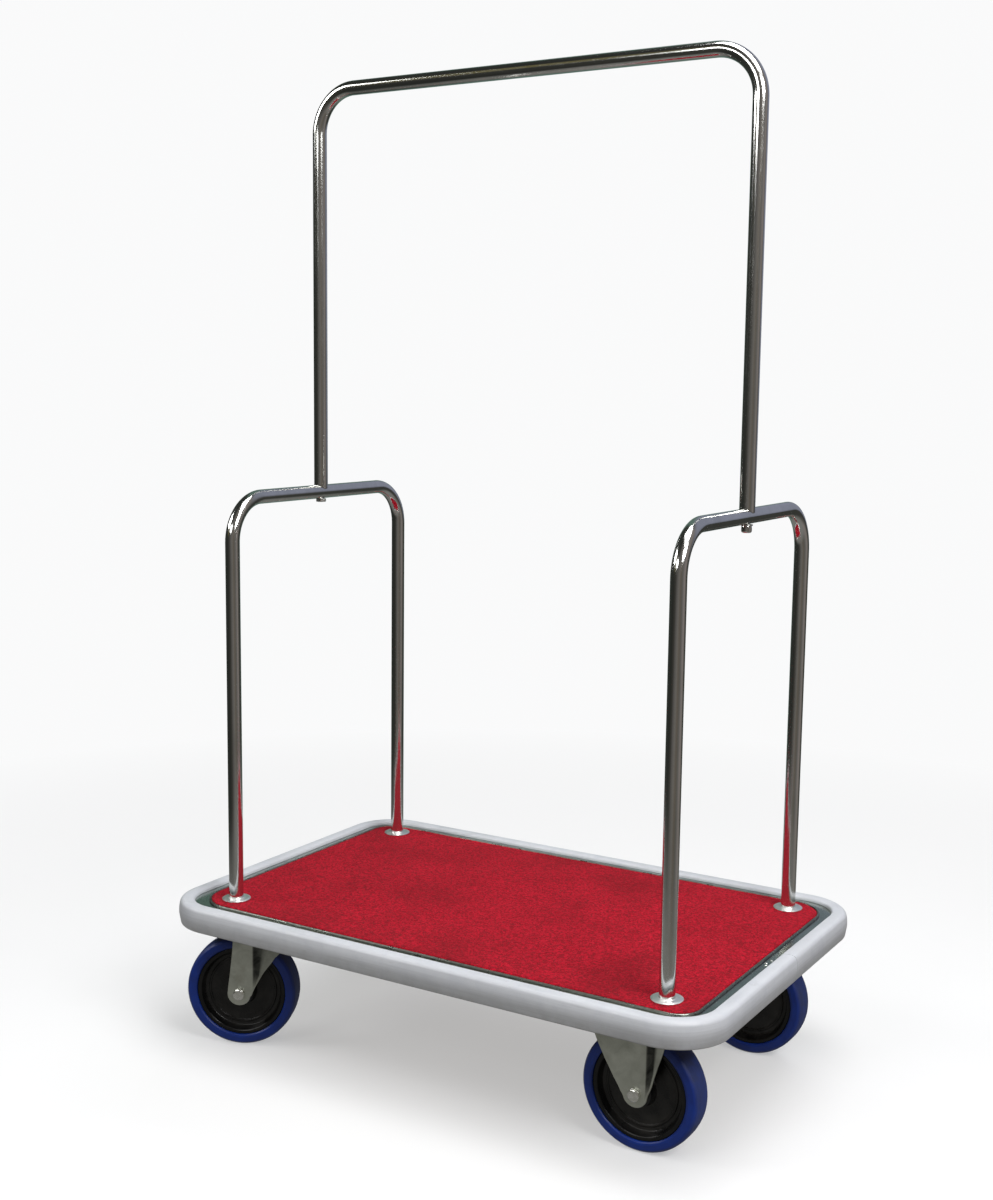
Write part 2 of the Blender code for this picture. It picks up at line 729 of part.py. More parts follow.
def make_swivel_caster(corner, sy, heading, bolt_side):
    """A plate with its kingpin, and below it a fork that trails towards local +X."""
    place = (SWIVEL_CASTER_X, sy * SWIVEL_CASTER_Y, 0)
    base = add_pivot(f"caster_base_{corner}", place)
    center = (0, 0, PLATE_BOTTOM + CASTER_PLATE[2] / 2)
    box(f"swivel_plate_{corner}", CASTER_PLATE, center, "zinc_steel", base)
    swivel = add_pivot(f"swivel_{corner}", (0, 0, 0), base, heading)

    crown_bottom = SWIVEL_CROWN_TOP - FORK_THICKNESS
    kingpin = [
        (0, PLATE_BOTTOM - GAP),
        (KINGPIN_RADIUS, PLATE_BOTTOM - GAP),
        (KINGPIN_RADIUS, crown_bottom - GAP),
        (0.012, crown_bottom - GAP),
        (0.012, crown_bottom - 0.006),
        (0.009, crown_bottom - 0.008),
        (0, crown_bottom - 0.008),
    ]
    turned(f"kingpin_{corner}", kingpin, "zinc_steel", parent=base)

    race_top = PLATE_BOTTOM - GAP
    race = [
        (KINGPIN_RADIUS + 0.002, race_top),
        (RACE_RADIUS - 0.006, race_top),
        (RACE_RADIUS, race_top - 0.005),
        (RACE_RADIUS, SWIVEL_CROWN_TOP + GAP),
        (KINGPIN_RADIUS + 0.002, SWIVEL_CROWN_TOP + GAP),
    ]
    turned(f"swivel_race_{corner}", race, "zinc_steel", 20, swivel)

    crown_length = SWIVEL_FORK_BACK - SWIVEL_FORK_FRONT
    crown_size = (crown_length, 2 * FORK_SPREAD + FORK_THICKNESS, FORK_THICKNESS)
    crown_center = (SWIVEL_FORK_FRONT + crown_length / 2, 0, crown_bottom + FORK_THICKNESS / 2)
    fork = box(f"fork_{corner}", crown_size, crown_center, "zinc_steel", swivel)
    kingpin_hole = cylinder(
        f"kingpin_hole_{corner}", KINGPIN_RADIUS + 0.001, 0.03, (0, 0, crown_bottom), None, swivel
    )
    cut(fork, kingpin_hole)
    leg_top = crown_bottom + 0.001
    outline = leg_outline(SWIVEL_FORK_FRONT, SWIVEL_FORK_BACK, leg_top, leg_top, SWIVEL_TRAIL)
    join_legs(fork, corner, outline, SWIVEL_TRAIL, swivel)

    axle = add_pivot(f"wheel_axle_{corner}", (SWIVEL_TRAIL, 0, WHEEL_RADIUS), swivel)
    axle_pieces(corner, Vector((SWIVEL_TRAIL, 0, WHEEL_RADIUS)), bolt_side, swivel)
    wheel_pieces(corner, axle)


# ---------------------------------------------------------------- the cart

make_board()
make_coverings()
make_bumper()
make_underframe()
make_side_hoops()
make_tall_hoop()
make_post_fixings()
make_tall_hoop_fixings()
make_fixed_caster("front_right", -1)
make_fixed_caster("back_right", 1)
make_swivel_caster("front_left", -1, FRONT_SWIVEL_HEADING, 1)
make_swivel_caster("back_left", 1, BACK_SWIVEL_HEADING, -1)
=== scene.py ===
"""Looks of the hotel luggage cart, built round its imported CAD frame.

Metres, +Z up, the origin on the floor under the middle of the platform. +X is the cart's length
towards its fixed casters and -Y is its front. Every place and outer size is read from the frame.
"""

import json
import math

import bmesh
import bpy
import numpy as np
from mathutils import Matrix, Vector, noise


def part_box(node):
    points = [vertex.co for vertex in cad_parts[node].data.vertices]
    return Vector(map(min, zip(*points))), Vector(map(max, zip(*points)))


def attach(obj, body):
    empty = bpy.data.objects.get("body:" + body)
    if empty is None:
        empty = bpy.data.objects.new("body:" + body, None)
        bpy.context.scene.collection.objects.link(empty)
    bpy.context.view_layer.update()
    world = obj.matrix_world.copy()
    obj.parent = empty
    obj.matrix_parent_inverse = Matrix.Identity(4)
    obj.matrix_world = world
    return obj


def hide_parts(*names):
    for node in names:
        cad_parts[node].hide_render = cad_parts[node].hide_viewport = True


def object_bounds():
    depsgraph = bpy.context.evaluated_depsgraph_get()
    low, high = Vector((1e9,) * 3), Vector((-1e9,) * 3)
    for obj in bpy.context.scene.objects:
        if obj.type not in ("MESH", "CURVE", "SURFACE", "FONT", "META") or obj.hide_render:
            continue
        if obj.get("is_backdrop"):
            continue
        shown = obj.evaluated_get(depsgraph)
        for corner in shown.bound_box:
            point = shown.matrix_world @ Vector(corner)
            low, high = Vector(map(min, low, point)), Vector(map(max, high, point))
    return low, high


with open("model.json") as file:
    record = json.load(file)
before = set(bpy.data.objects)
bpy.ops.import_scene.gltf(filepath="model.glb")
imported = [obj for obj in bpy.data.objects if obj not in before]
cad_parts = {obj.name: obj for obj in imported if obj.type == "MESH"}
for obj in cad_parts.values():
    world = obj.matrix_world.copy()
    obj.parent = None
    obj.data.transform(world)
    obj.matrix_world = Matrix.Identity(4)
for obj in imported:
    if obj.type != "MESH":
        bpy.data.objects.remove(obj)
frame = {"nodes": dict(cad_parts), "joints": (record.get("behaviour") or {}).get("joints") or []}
cad_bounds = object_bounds()

# Clearance between pieces that lie on each other
GAP = 0.0003
CORNERS = ("front_left", "back_left", "front_right", "back_right")
SWIVEL_CORNERS = ("front_left", "back_left")
JOINTS = {joint["name"]: joint for joint in frame["joints"]}


# ---- levels and sizes from the frame

SHEET_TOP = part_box("deck_sheet")[1].z
BOARD_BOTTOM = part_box("deck_board")[0].z
CARPET_LOW, CARPET_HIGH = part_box("carpet")
TRIM_LOW, TRIM_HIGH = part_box("carpet_trim")
BUMPER_LOW, BUMPER_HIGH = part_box("bumper")
POST_LOW, POST_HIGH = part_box("side_hoop_right")
TUBE_RADIUS = (POST_HIGH.x - POST_LOW.x) / 2
POST_X = (POST_HIGH.x + POST_LOW.x) / 2
POST_Y = POST_HIGH.y - TUBE_RADIUS
SIDE_HOOP_TOP = POST_HIGH.z - TUBE_RADIUS
TALL_HOOP_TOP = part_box("tall_hoop")[1].z - TUBE_RADIUS
POSTS = [(sx * POST_X, sy * POST_Y) for sy in (-1, 1) for sx in (-1, 1)]
DECK_CORNER_RADIUS = 0.095
BUMPER_LIP = 0.029
SEAM_Y = 0.022
TRIM_JOINT_Y = -0.012
# Back right, back left, front left and front right
CARPET_RADII = (0.06, 0.042, 0.066, 0.036)
TUBE_WALL = 0.0015
BEND_RADIUS = 0.076
HEX_FLATS = 0.017
AXLE_WASHER = 0.0098
DOWN = (0, 0, -1)
RUBBER = 0.0195
PLATE_CORNER = 0.01
FORK_THICKNESS = 0.0035
FORK_SPREAD = 0.034
FORK_END_RADIUS = 0.021


# ---- materials


class Nodes:
    """Short calls that add nodes to a tree; an input is a constant or another node's socket."""

    def __init__(self, tree, place):
        self.tree = tree
        self.place = self.add("ShaderNodeTexCoord").outputs[place]

    def put(self, socket, value):
        if isinstance(value, bpy.types.NodeSocket):
            self.tree.links.new(value, socket)
        else:
            socket.default_value = value

    def add(self, kind, inputs=None, **settings):
        node = self.tree.nodes.new(kind)
        for key, value in settings.items():
            setattr(node, key, value)
        for key, value in (inputs or {}).items():
            self.put(node.inputs[key], value)
        return node

    def stretched(self, stretch):
        if stretch is None:
            return self.place
        return self.add("ShaderNodeMapping", {"Vector": self.place, "Scale": stretch}).outputs["Vector"]

    def noise(self, scale, detail=4.0, rough=0.55, stretch=None, warp=0.0):
        inputs = {"Vector": self.stretched(stretch), "Scale": scale, "Detail": detail, "Roughness": rough}
        return self.add("ShaderNodeTexNoise", {**inputs, "Distortion": warp}).outputs["Fac"]

    def cells(self, scale, output="Distance"):
        return self.add("ShaderNodeTexVoronoi", {"Vector": self.place, "Scale": scale}).outputs[output]

    def attribute(self, name):
        return self.add("ShaderNodeAttribute", attribute_name=name).outputs["Fac"]

    def spread(self, value, low, high, to_low=0.0, to_high=1.0, **settings):
        keys = {"Value": value, "From Min": low, "From Max": high, "To Min": to_low, "To Max": to_high}
        return self.add("ShaderNodeMapRange", keys, **settings).outputs["Result"]

    def compute(self, operation, a, b):
        return self.add("ShaderNodeMath", {0: a, 1: b}, operation=operation).outputs[0]

    def blend(self, share, a, b):
        a, b = ((*color, 1.0) if isinstance(color, tuple) else color for color in (a, b))
        return self.add("ShaderNodeMix", {0: share, 6: a, 7: b}, data_type="RGBA").outputs[2]

    def fade(self, value, low, high, a, b, most=1.0):
        """From a to b as value goes from low to high, with at most that share of b."""
        return self.blend(self.spread(value, low, high, 0.0, most), a, b)

    def bump(self, height, strength, distance, under=None):
        inputs = {"Height": height, "Strength": strength, "Distance": distance}
        if under is not None:
            inputs["Normal"] = under
        return self.add("ShaderNodeBump", inputs).outputs["Normal"]

    def mix(self, share, a, b):
        return self.add("ShaderNodeMixShader", {0: share, 1: a.outputs[0], 2: b.outputs[0]})

    def show(self, output, mirrored, seen):
        """Ends the tree in one shader for camera rays, and in another for all other rays."""
        eye = self.add("ShaderNodeLightPath").outputs["Is Camera Ray"]
        self.put(self.tree.nodes[output].inputs["Surface"], self.mix(eye, mirrored, seen).outputs[0])


class Recipe(Nodes):
    """A Principled material."""

    def __init__(self, name, **constants):
        self.material = bpy.data.materials.new(name)
        self.material.use_nodes = True
        super().__init__(self.material.node_tree, "Object")
        self.shader = self.tree.nodes["Principled BSDF"]
        for socket, value in constants.items():
            self.shader.inputs[socket.replace("_", " ")].default_value = value

    def use(self, *values):
        """The material, with its colour, roughness and normal linked to values."""
        for socket, value in zip(("Base Color", "Roughness", "Normal"), values):
            self.put(self.shader.inputs[socket], value)
        return self.material


def chrome():
    """Bright chrome plate: faint smears, fine wiping scratches and a slightly uneven tube wall."""
    paint = Recipe("chrome", Metallic=1.0)
    smears = paint.noise(22, 5, 0.6, (1, 1, 0.35), 0.4)
    tone = paint.fade(smears, 0.35, 0.75, (0.74, 0.74, 0.72), (0.6, 0.61, 0.58))
    tone = paint.fade(paint.cells(420), 0.1, 0.02, tone, (0.3, 0.28, 0.24), 0.35)
    scratches = paint.noise(900, 2, 0.5, (1, 1, 0.04))
    rough = paint.spread(smears, 0.3, 0.8, 0.095, 0.17)
    rough = paint.compute("ADD", rough, paint.spread(scratches, 0.55, 0.8, 0.0, 0.05))
    wavy = paint.bump(paint.noise(9, 2, 0.4, (1, 1, 0.5)), 0.08, 0.004)
    normal = paint.bump(scratches, 0.02, 0.0002, wavy)
    return paint.use(tone, rough, normal)


def pressed_chrome():
    """Chrome on thin pressings: the same plate, more clouded by wiping."""
    paint = Recipe("pressed_chrome", Metallic=1.0)
    clouds = paint.noise(60, 5, 0.6)
    scratches = paint.noise(700, 2, 0.5)
    tone = paint.fade(clouds, 0.35, 0.75, (0.96, 0.96, 0.95), (0.82, 0.82, 0.8))
    rough = paint.spread(clouds, 0.3, 0.75, 0.36, 0.5)
    return paint.use(tone, rough, paint.bump(scratches, 0.06, 0.0002))


def polished_steel():
    """Mirror-finished stainless sheet with wiping scratches and a greasy film."""
    paint = Recipe("polished_steel", Metallic=1.0)
    film = paint.noise(14, 6, 0.65, None, 0.6)
    scratches = paint.noise(260, 3, 0.6, (0.05, 1, 1))
    tone = paint.fade(film, 0.35, 0.7, (0.5, 0.54, 0.5), (0.36, 0.4, 0.37))
    rough = paint.spread(film, 0.3, 0.75, 0.1, 0.26)
    rough = paint.compute("ADD", rough, paint.spread(scratches, 0.5, 0.8, 0.0, 0.06))
    wavy = paint.bump(paint.noise(16, 2), 0.06, 0.003)
    return paint.use(tone, rough, paint.bump(scratches, 0.02, 0.0002, wavy))


def trim_metal():
    """Drawn bead, duller and warmer than the sheet."""
    paint = Recipe("trim_metal", Metallic=1.0)
    patches = paint.noise(30, 5, 0.6)
    tone = paint.fade(patches, 0.35, 0.7, (0.3, 0.31, 0.28), (0.19, 0.2, 0.175))
    rough = paint.spread(patches, 0.3, 0.75, 0.22, 0.4)
    return paint.use(tone, rough, paint.bump(patches, 0.1, 0.0004))


def zinc():
    """Bright zinc plate over a pressing: cloudy, slightly green, with handling marks, and near-black painted
    shade on the fork legs' steps.
    """
    paint = Recipe("zinc_plate", Metallic=1.0)
    clouds = paint.noise(34, 6, 0.62, None, 0.5)
    grain = paint.noise(650, 3, 0.6)
    tone = paint.fade(clouds, 0.3, 0.72, (0.66, 0.68, 0.61), (0.47, 0.49, 0.43))
    tone = paint.fade(paint.noise(11, 4, 0.7), 0.6, 0.74, tone, (0.3, 0.27, 0.2), 0.4)
    rough = paint.spread(clouds, 0.3, 0.75, 0.36, 0.5)
    rough = paint.compute("ADD", rough, paint.spread(grain, 0.4, 0.8, -0.03, 0.06))
    # Painted shade: near black where the fork legs' steps lie in shadow, read from the point attribute that
    # make_fork marks
    painted_shade_share = paint.compute("MULTIPLY", paint.attribute("painted_shade"), paint.spread(clouds, 0.2, 0.6, 0.75, 1.0))
    tone = paint.blend(painted_shade_share, tone, (0.035, 0.037, 0.034))
    dents = paint.bump(paint.noise(70, 3), 0.1, 0.0012)
    return paint.use(tone, rough, paint.bump(grain, 0.16, 0.0002, dents))


def fastener():
    """Brighter zinc on turned and headed parts, with fine turning marks."""
    paint = Recipe("fastener_zinc", Metallic=1.0)
    marks = paint.noise(500, 3, 0.6)
    clouds = paint.noise(120, 3)
    tone = paint.fade(clouds, 0.35, 0.7, (0.92, 0.92, 0.89), (0.72, 0.72, 0.67))
    rough = paint.spread(marks, 0.3, 0.75, 0.2, 0.34)
    return paint.use(tone, rough, paint.bump(marks, 0.1, 0.0002))


def vinyl():
    """Satin grey vinyl: drawing lines along the extrusion, scuffs on its edges and dust low down."""
    paint = Recipe("bumper_vinyl", Specular_IOR_Level=0.5)
    lines = paint.noise(520, 2, 0.5, (0.012, 0.012, 1))
    cloud = paint.noise(7, 5, 0.6)
    grain = paint.noise(1400, 2, 0.6)
    scuffs = paint.noise(60, 6, 0.75, (0.35, 0.35, 1.6), 1.2)
    tone = paint.fade(cloud, 0.3, 0.75, (0.59, 0.605, 0.64), (0.515, 0.53, 0.565))
    streaks = paint.noise(300, 3, 0.6, (0.02, 0.02, 1))
    tone = paint.fade(streaks, 0.45, 0.72, tone, (0.4, 0.41, 0.43), 0.38)
    blotches = paint.noise(38, 5, 0.7, None, 0.6)
    tone = paint.fade(blotches, 0.48, 0.7, tone, (0.42, 0.44, 0.5), 0.3)
    tone = paint.fade(scuffs, 0.62, 0.78, tone, (0.3, 0.3, 0.29), 0.55)
    low = paint.add("ShaderNodeSeparateXYZ", {"Vector": paint.place}).outputs["Z"]
    dust = paint.spread(low, BUMPER_HIGH.z - 0.014, BUMPER_LOW.z, 0.0, 0.5)
    dust = paint.compute("MULTIPLY", dust, paint.spread(paint.noise(26, 6, 0.7), 0.15, 0.65))
    tone = paint.blend(dust, tone, (0.26, 0.25, 0.225))
    rough = paint.spread(cloud, 0.3, 0.75, 0.36, 0.5)
    rough = paint.compute("ADD", rough, paint.spread(scuffs, 0.5, 0.8, 0.0, 0.14))
    drawn = paint.bump(lines, 0.35, 0.0005)
    return paint.use(tone, rough, paint.bump(grain, 0.12, 0.0002, drawn))


def carpet_fabric():
    """Dense short pile in mixed reds, with dark flecks, trodden patches and loose lint."""
    sheen = {"Sheen_Weight": 0.05, "Sheen_Roughness": 0.5, "Sheen_Tint": (1.0, 0.45, 0.45, 1.0)}
    paint = Recipe("carpet_fabric", Specular_IOR_Level=0.08, **sheen)
    yarn = paint.noise(360, 3, 0.75)
    flecks = paint.noise(205, 5, 0.8, None, 0.8)
    tufts = paint.cells(300, "Color")
    trodden = paint.noise(5.5, 6, 0.62)
    tone = paint.fade(yarn, 0.38, 0.62, (0.13, 0.003, 0.008), (0.52, 0.006, 0.022))
    tuft = paint.add("ShaderNodeSeparateColor", {"Color": tufts}).outputs["Red"]
    tone = paint.fade(tuft, 0.55, 0.85, tone, (0.56, 0.01, 0.03), 0.55)
    tone = paint.fade(tuft, 0.4, 0.15, tone, (0.13, 0.005, 0.01), 0.45)
    tone = paint.fade(flecks, 0.52, 0.62, tone, (0.09, 0.006, 0.012), 0.76)
    tone = paint.fade(trodden, 0.42, 0.62, tone, (0.14, 0.004, 0.008), 0.42)
    tone = paint.fade(paint.noise(480, 2), 0.735, 0.76, tone, (0.45, 0.3, 0.27), 0.5)
    rough = paint.spread(yarn, 0.3, 0.7, 0.84, 1.0)
    pile = paint.bump(yarn, 0.75, 0.0011)
    return paint.use(tone, rough, paint.bump(flecks, 0.45, 0.0012, pile))


def backing():
    """Woven backing of the carpet."""
    paint = Recipe("carpet_backing", Specular_IOR_Level=0.1)
    yarns = {"Vector": paint.place, "Scale": 160.0}
    warp, weft = (paint.add("ShaderNodeTexWave", yarns, bands_direction=way).outputs["Fac"] for way in "XY")
    height = paint.compute("MAXIMUM", warp, weft)
    tone = paint.blend(height, (0.035, 0.008, 0.01), (0.16, 0.03, 0.035))
    rough = paint.spread(height, 0.0, 1.0, 0.97, 0.88)
    return paint.use(tone, rough, paint.bump(height, 0.5, 0.0006))


def plywood():
    """Birch plywood: stretched grain, a few knots and a thin worn varnish."""
    paint = Recipe("birch_plywood", Coat_Weight=0.12, Coat_Roughness=0.35)
    grain = paint.noise(42, 8, 0.62, (0.1, 1.6, 1.6), 0.9)
    fibre = paint.noise(420, 3, 0.6, (0.05, 1, 1))
    tone = paint.fade(grain, 0.32, 0.7, (0.5, 0.33, 0.18), (0.3, 0.175, 0.08))
    tone = paint.fade(fibre, 0.5, 0.8, tone, (0.2, 0.11, 0.05), 0.45)
    rough = paint.spread(grain, 0.3, 0.7, 0.52, 0.7)
    return paint.use(tone, rough, paint.bump(fibre, 0.25, 0.0004))


def nylon():
    """Black moulded nylon, slightly glossy, with dust in its recess."""
    paint = Recipe("black_nylon", Specular_IOR_Level=0.32)
    pebble = paint.noise(700, 3, 0.6)
    cloud = paint.noise(30, 5, 0.65)
    tone = paint.fade(cloud, 0.45, 0.8, (0.003, 0.003, 0.0033), (0.012, 0.0115, 0.011))
    dusty = paint.compute("MULTIPLY", paint.attribute("dust"), paint.spread(cloud, 0.3, 0.7, 0.0, 0.35))
    tone = paint.blend(dusty, tone, (0.05, 0.047, 0.042))
    rough = paint.spread(cloud, 0.3, 0.75, 0.22, 0.42)
    return paint.use(tone, rough, paint.bump(pebble, 0.1, 0.0003))


def elastic_rubber():
    """Blue elastic rubber: satin side walls and a dull, dusty running surface with small nicks."""
    paint = Recipe("blue_rubber", Specular_IOR_Level=0.45)
    cloud = paint.noise(26, 6, 0.65, None, 0.4)
    grain = paint.noise(800, 3, 0.6)
    nicks = paint.spread(paint.cells(170), 0.02, 0.09, 1.0, 0.0)
    tone = paint.fade(cloud, 0.3, 0.75, (0.004, 0.03, 0.24), (0.003, 0.018, 0.15))
    worn = paint.attribute("wear")
    dirt = paint.compute("MULTIPLY", worn, paint.spread(cloud, 0.25, 0.7, 0.25, 0.95))
    tone = paint.blend(paint.compute("MULTIPLY", dirt, 0.62), tone, (0.045, 0.055, 0.085))
    tone = paint.blend(paint.compute("MULTIPLY", nicks, worn), tone, (0.015, 0.016, 0.03))
    rough = paint.compute("MULTIPLY", worn, 0.22)
    rough = paint.compute("ADD", paint.spread(cloud, 0.3, 0.8, 0.34, 0.5), rough)
    height = paint.compute("SUBTRACT", grain, paint.compute("MULTIPLY", nicks, worn))
    return paint.use(tone, rough, paint.bump(height, 0.2, 0.0004))


MATERIALS = {
    "chrome": chrome(),
    "pressed_chrome": pressed_chrome(),
    "polished_steel": polished_steel(),
    "trim": trim_metal(),
    "zinc_steel": zinc(),
    "fastener": fastener(),
    "bumper": vinyl(),
    "carpet": carpet_fabric(),
    "backing": backing(),
    "plywood": plywood(),
    "black_hub": nylon(),
    "blue_tread": elastic_rubber(),
}
SLOTS = {"pressed_chrome": "chrome", "trim": "polished_steel", "fastener": "zinc_steel", "backing": "carpet"}


# ---- mesh helpers


def add_piece(name, shape, finish, body, nodes=(), turn_out=True, sharp=35):
    """A smooth-shaded mesh that rides on a body; turn_out makes closed shells face outwards."""
    mesh = bpy.data.meshes.new(name)
    mesh.from_pydata([tuple(map(float, p)) for p in shape.points], [], shape.faces)
    if turn_out:
        build = bmesh.new()
        build.from_mesh(mesh)
        bmesh.ops.recalc_face_normals(build, faces=build.faces)
        build.to_mesh(mesh)
        build.free()
    mesh.shade_smooth()
    mesh.set_sharp_from_angle(angle=math.radians(sharp))
    mesh.materials.append(MATERIALS[finish])
    piece = bpy.data.objects.new(name, mesh)
    bpy.context.scene.collection.objects.link(piece)
    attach(piece, body)
    SLOTS.get(finish, finish)
    if nodes:
        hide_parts(*nodes)
    return piece


class Shape:
    """The points and faces of one or more shells."""

    def __init__(self, points=(), faces=()):
        self.points, self.faces = list(points), list(faces)

    def take(self, other, place=None):
        """Adds another shape's shells, moved by the matrix place."""
        start = len(self.points)
        self.points += other.points if place is None else [place @ Vector(p) for p in other.points]
        self.faces += [tuple(start + i for i in face) for face in other.faces]
        return self


def fillet(corners, steps=6):
    """A closed outline of (x, y, radius) corners, with an arc of its radius at each corner."""
    outline = []
    for (px, py, _), (x, y, radius), (nx, ny, _) in zip(
        corners[-1:] + corners[:-1], corners, corners[1:] + corners[:1]
    ):
        corner = Vector((x, y))
        back, on = Vector((px, py)) - corner, Vector((nx, ny)) - corner
        half = back.angle(on) / 2
        if radius <= 0 or half > math.pi / 2 - 1e-3:
            outline.append((x, y))
            continue
        reach = min(radius / math.tan(half), 0.49 * back.length, 0.49 * on.length)
        radius = reach * math.tan(half)
        center = corner + (back.normalized() + on.normalized()).normalized() * radius / math.sin(half)
        start = corner + back.normalized() * reach - center
        sweep = math.pi - 2 * half
        turn = -1 if back.x * on.y - back.y * on.x > 0 else 1
        for step in range(steps + 1):
            angle = turn * sweep * step / steps
            c, s = math.cos(angle), math.sin(angle)
            outline.append((center.x + c * start.x - s * start.y, center.y + s * start.x + c * start.y))
    return outline


def at(x, y, z=0):
    return Matrix.Translation((x, y, z))


def onto(place, axis):
    """The matrix that stands a shape made about Z at place, with its Z along axis."""
    return at(*place) @ Vector(axis).to_track_quat("Z", "Y").to_matrix().to_4x4()


def ring_faces(rows, count, closed_rows=False, closed_count=True):
    """Quads between rows of count points each."""
    faces = []
    for row in range(rows if closed_rows else rows - 1):
        for i in range(count if closed_count else count - 1):
            j = (i + 1) % count
            a, b = row * count, (row + 1) % rows * count
            faces.append((a + i, a + j, b + j, b + i))
    return faces


def caps(points, count):
    """Faces that close the first and the last ring of count points."""
    return [tuple(range(count)), tuple(range(len(points) - count, len(points)))]


def border(rows, count):
    """The indices round the edge of rows of count points each."""
    last = (rows - 1) * count
    edge = list(range(count)) + [row * count - 1 for row in range(2, rows + 1)]
    return edge + list(range(last + count - 2, last - 1, -1)) + [row * count for row in range(rows - 2, 0, -1)]


def lathe(outline, steps=48, limit=None):
    """A closed outline of (radius, height) points turned about Z; it may start and end on the axis."""
    on_axis = outline[0][0] < 1e-9
    rings = outline[1:-1] if on_axis else outline
    points = []
    for radius, height in rings:
        for step in range(steps):
            angle = 2 * math.pi * step / steps
            r = limit(radius, angle) if limit else radius
            points.append((r * math.cos(angle), r * math.sin(angle), height))
    faces = ring_faces(len(rings), steps, closed_rows=not on_axis)
    if on_axis:
        for (_, height), start in ((outline[0], 0), (outline[-1], len(points) - steps)):
            faces += [(start + i, start + (i + 1) % steps, len(points)) for i in range(steps)]
            points.append((0, 0, height))
    return Shape(points, faces)


QUARTERS = ((1, 1), (-1, 1), (-1, -1), (1, -1))


def rounded_path(half_x, half_y, radii, start_y=0.0, step=0.03, corner_steps=20):
    """(x, y, normal x, normal y) round a rectangle, anticlockwise from (half_x, start_y).

    radii are those of the back right, back left, front left and front right corners.
    """
    stops = []
    for quarter, ((sx, sy), radius) in enumerate(zip(QUARTERS, radii)):
        for i in range(corner_steps + 1):
            angle = math.pi / 2 * (quarter + i / corner_steps)
            c, s = math.cos(angle), math.sin(angle)
            stops.append((sx * (half_x - radius) + radius * c, sy * (half_y - radius) + radius * s, c, s))
    begin = (half_x, start_y, 1.0, 0.0)
    path = [begin]
    for here in stops + [begin]:
        last = path[-1]
        length = math.hypot(here[0] - last[0], here[1] - last[1])
        pieces = max(1, round(length / step))
        for i in range(1, pieces + 1):
            path.append(tuple(a + (b - a) * i / pieces for a, b in zip(last, here)))
    return path


def sweep(path, section, ends=0.0):
    """A closed section of (inset, height) points round a path; ends rounds the two ends that meet."""
    count = len(section)
    middle = [sum(p[k] for p in section) / count for k in (0, 1)]
    rows = [(*place, 0.0) for place in path[:-1]]
    if ends:
        x, y, nx, ny = path[0]
        along = Vector((path[1][0] - x, path[1][1] - y)).normalized()
        rows = rows[1:]
        for back, shrink in ((1.15, 0.0), (0.45, 0.06), (0.15, 0.16)):
            dx, dy = along.x * ends * back, along.y * ends * back
            rows = [(x + dx, y + dy, nx, ny, shrink)] + rows + [(x - dx, y - dy, nx, ny, shrink)]
    points = []
    for x, y, nx, ny, shrink in rows:
        for inset, height in section:
            inset += (middle[0] - inset) * shrink
            height += (middle[1] - height) * shrink
            points.append((x - nx * inset, y - ny * inset, height))
    faces = ring_faces(len(rows), count, closed_rows=not ends)
    return Shape(points, faces + caps(points, count) if ends else faces)


def slab(half_x, half_y, radius, low, high, edge):
    """A rounded rectangular plate with rounded edges."""
    rings = ((edge, low), (0.3 * edge, low + 0.3 * edge), (0, low + edge))
    rings += ((0, high - edge), (0.3 * edge, high - 0.3 * edge), (edge, high))
    points = []
    for inset, height in rings:
        corners = [(sx * (half_x - inset), sy * (half_y - inset), radius - inset) for sx, sy in QUARTERS]
        points += [(x, y, height) for x, y in fillet(corners, 8)]
    count = len(points) // len(rings)
    return Shape(points, ring_faces(len(rings), count) + caps(points, count))


def smooth_step(low, high, value):
    t = min(1.0, max(0.0, (value - low) / (high - low)))
    return t * t * (3 - 2 * t)


# ---- platform


def make_bumper():
    """One extrusion bent round the deck, butted at a seam in its right end."""
    wall, hook = 0.0118, 0.024
    low, high = BUMPER_LOW.z, BUMPER_HIGH.z
    lip_bottom, hook_top = SHEET_TOP + GAP, BOARD_BOTTOM - GAP
    section = fillet([
        (0.0042, low, 0.0085), (0.0, low + 0.55 * (high - low), 0.06), (0.004, high - 0.0016, 0.013),
        (0.016, high, 0.06), (BUMPER_LIP - 0.0006, high - 0.0016, 0.005),
        (BUMPER_LIP, lip_bottom, 0.0005), (wall, lip_bottom, 0.0), (wall, hook_top, 0.0),
        (hook, hook_top, 0.0006), (hook, hook_top - 0.004, 0.0015), (wall, hook_top - 0.004, 0.002),
        (0.0105, low, 0.0015),
    ])
    path = rounded_path(BUMPER_HIGH.x, BUMPER_HIGH.y, [DECK_CORNER_RADIUS] * 4, start_y=SEAM_Y)
    add_piece("bumper_extrusion", sweep(path, section, ends=0.0009), "bumper", "cart", ["bumper"], sharp=50)


def carpet_half_widths(y):
    """How far the carpet reaches to the left and to the right at y; its corners are cut unevenly."""
    half_x, half_y = CARPET_HIGH.x, CARPET_HIGH.y
    back_right, back_left, front_left, front_right = CARPET_RADII
    reach = []
    for back, front in ((back_left, front_left), (back_right, front_right)):
        radius = back if y > 0 else front
        into = max(0.0, abs(y) - (half_y - radius))
        reach.append(half_x - radius + math.sqrt(max(0.0, radius**2 - into**2)))
    return reach


def uneven(x, y, scale, seed=0.0):
    return noise.noise(Vector((x * scale, y * scale, seed)))


